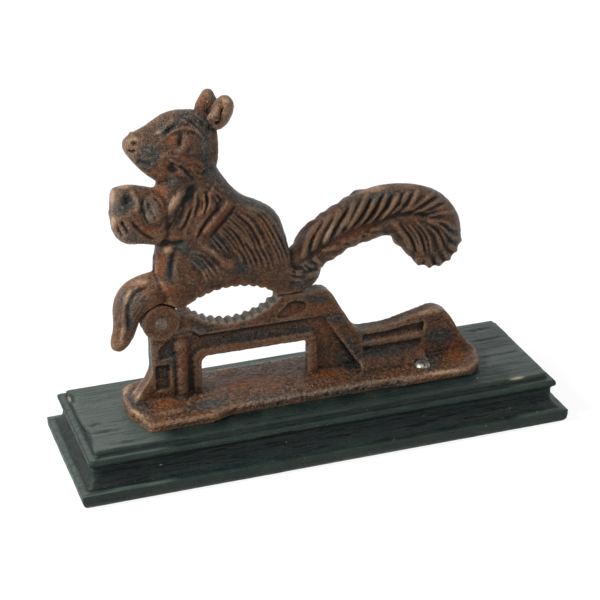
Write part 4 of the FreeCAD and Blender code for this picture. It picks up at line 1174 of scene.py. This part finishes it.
# 1 where the eye, a mirror or glass looks at the backdrop.
def seenDirectly(tree):
    rays = addNode(tree, "ShaderNodeLightPath").outputs
    seen = larger(tree, rays["Is Camera Ray"], rays["Is Glossy Ray"])
    return larger(tree, seen, rays["Is Transmission Ray"])


def makeSky():
    world = bpy.data.worlds.new("studio")
    bpy.context.scene.world = world
    world.use_nodes = True
    tree = world.node_tree
    sky = tree.nodes["Background"].inputs
    feed(tree, sky["Color"], white)
    feed(tree, sky["Strength"], slide(tree, seenDirectly(tree), (lighting["world"], 1.0)))


# Paper that glows white to the eye and still takes the shadows.
def makeFloor():
    bpy.ops.mesh.primitive_plane_add(size=backdrop["size"], location=(0.0, 0.0, 0.0))
    floor = bpy.context.object
    floor.name = "floor"
    material = bpy.data.materials.new("paleFloor")
    material.use_nodes = True
    tree = material.node_tree
    tree.nodes.clear()
    paper = addNode(tree, "ShaderNodeBsdfDiffuse", {"Color": backdrop["paper"]})
    place = addNode(tree, "ShaderNodeTexCoord").outputs["Object"]
    away = addNode(tree, "ShaderNodeVectorMath", {"Vector": place}, operation="LENGTH").outputs["Value"]
    strength = spread(tree, away, *backdrop["glowFrom"], *backdrop["glow"])
    glow = addNode(tree, "ShaderNodeEmission", {"Color": white, "Strength": strength})
    share = times(tree, seenDirectly(tree), backdrop["glowShare"])
    wires = {"Fac": share, 1: paper.outputs["BSDF"], 2: glow.outputs["Emission"]}
    blend = addNode(tree, "ShaderNodeMixShader", wires)
    addNode(tree, "ShaderNodeOutputMaterial", {"Surface": blend.outputs["Shader"]})
    dress(floor, material)


def makeStudio():
    makeSky()
    for name, values in lighting["lamps"].items():
        addLamp(name, values)
    makeFloor()
    print("studio lit")


def makeCamera():
    camera = bpy.data.cameras.new("photographer")
    camera.sensor_width = shot["sensor"]
    camera.lens = shot["focal"] * camera.sensor_width / shot["side"]
    camera.clip_start = shot["nearest"]
    holder = bpy.data.objects.new("photographer", camera)
    right, up, back = cameraAxes()
    turn = Matrix((right, up, back)).transposed().to_4x4()
    holder.matrix_world = Matrix.Translation(Vector(shot["eye"]) * mm) @ turn
    bpy.context.collection.objects.link(holder)
    bpy.context.scene.camera = holder


def main():
    bpy.context.scene.view_settings.view_transform = "Standard"
    squirrelIron = makeIron("squirrelIron", squirrelFinish)
    frameIron = makeIron("frameIron", frameFinish)
    squirrelPiece, squirrelShare = makeSquirrel()
    dress(squirrelPiece, squirrelIron)
    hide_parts("squirrel_lever")
    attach(squirrelPiece, "lever")
    squirrelGrit = strewGrit(squirrelPiece, "squirrelGrit", squirrelIron, squirrelShare)
    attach(squirrelGrit, "lever")
    framePiece, frameShare = makeFrameCasting()
    dress(framePiece, frameIron)
    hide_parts("jaw_frame")
    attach(framePiece, "base")
    frameGrit = strewGrit(framePiece, "frameGrit", frameIron, frameShare)
    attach(frameGrit, "base")
    plinthPiece = makePlinth()
    dress(plinthPiece, makeStainedWood())
    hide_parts("wooden_base")
    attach(plinthPiece, "base")
    dressNode("pivot_rivet", makeRivetIron())
    steel = makeScrewSteel()
    dressNode("front_flange_screw", steel)
    dressNode("rear_flange_screw", steel)
    makeStudio()
    makeCamera()


main()
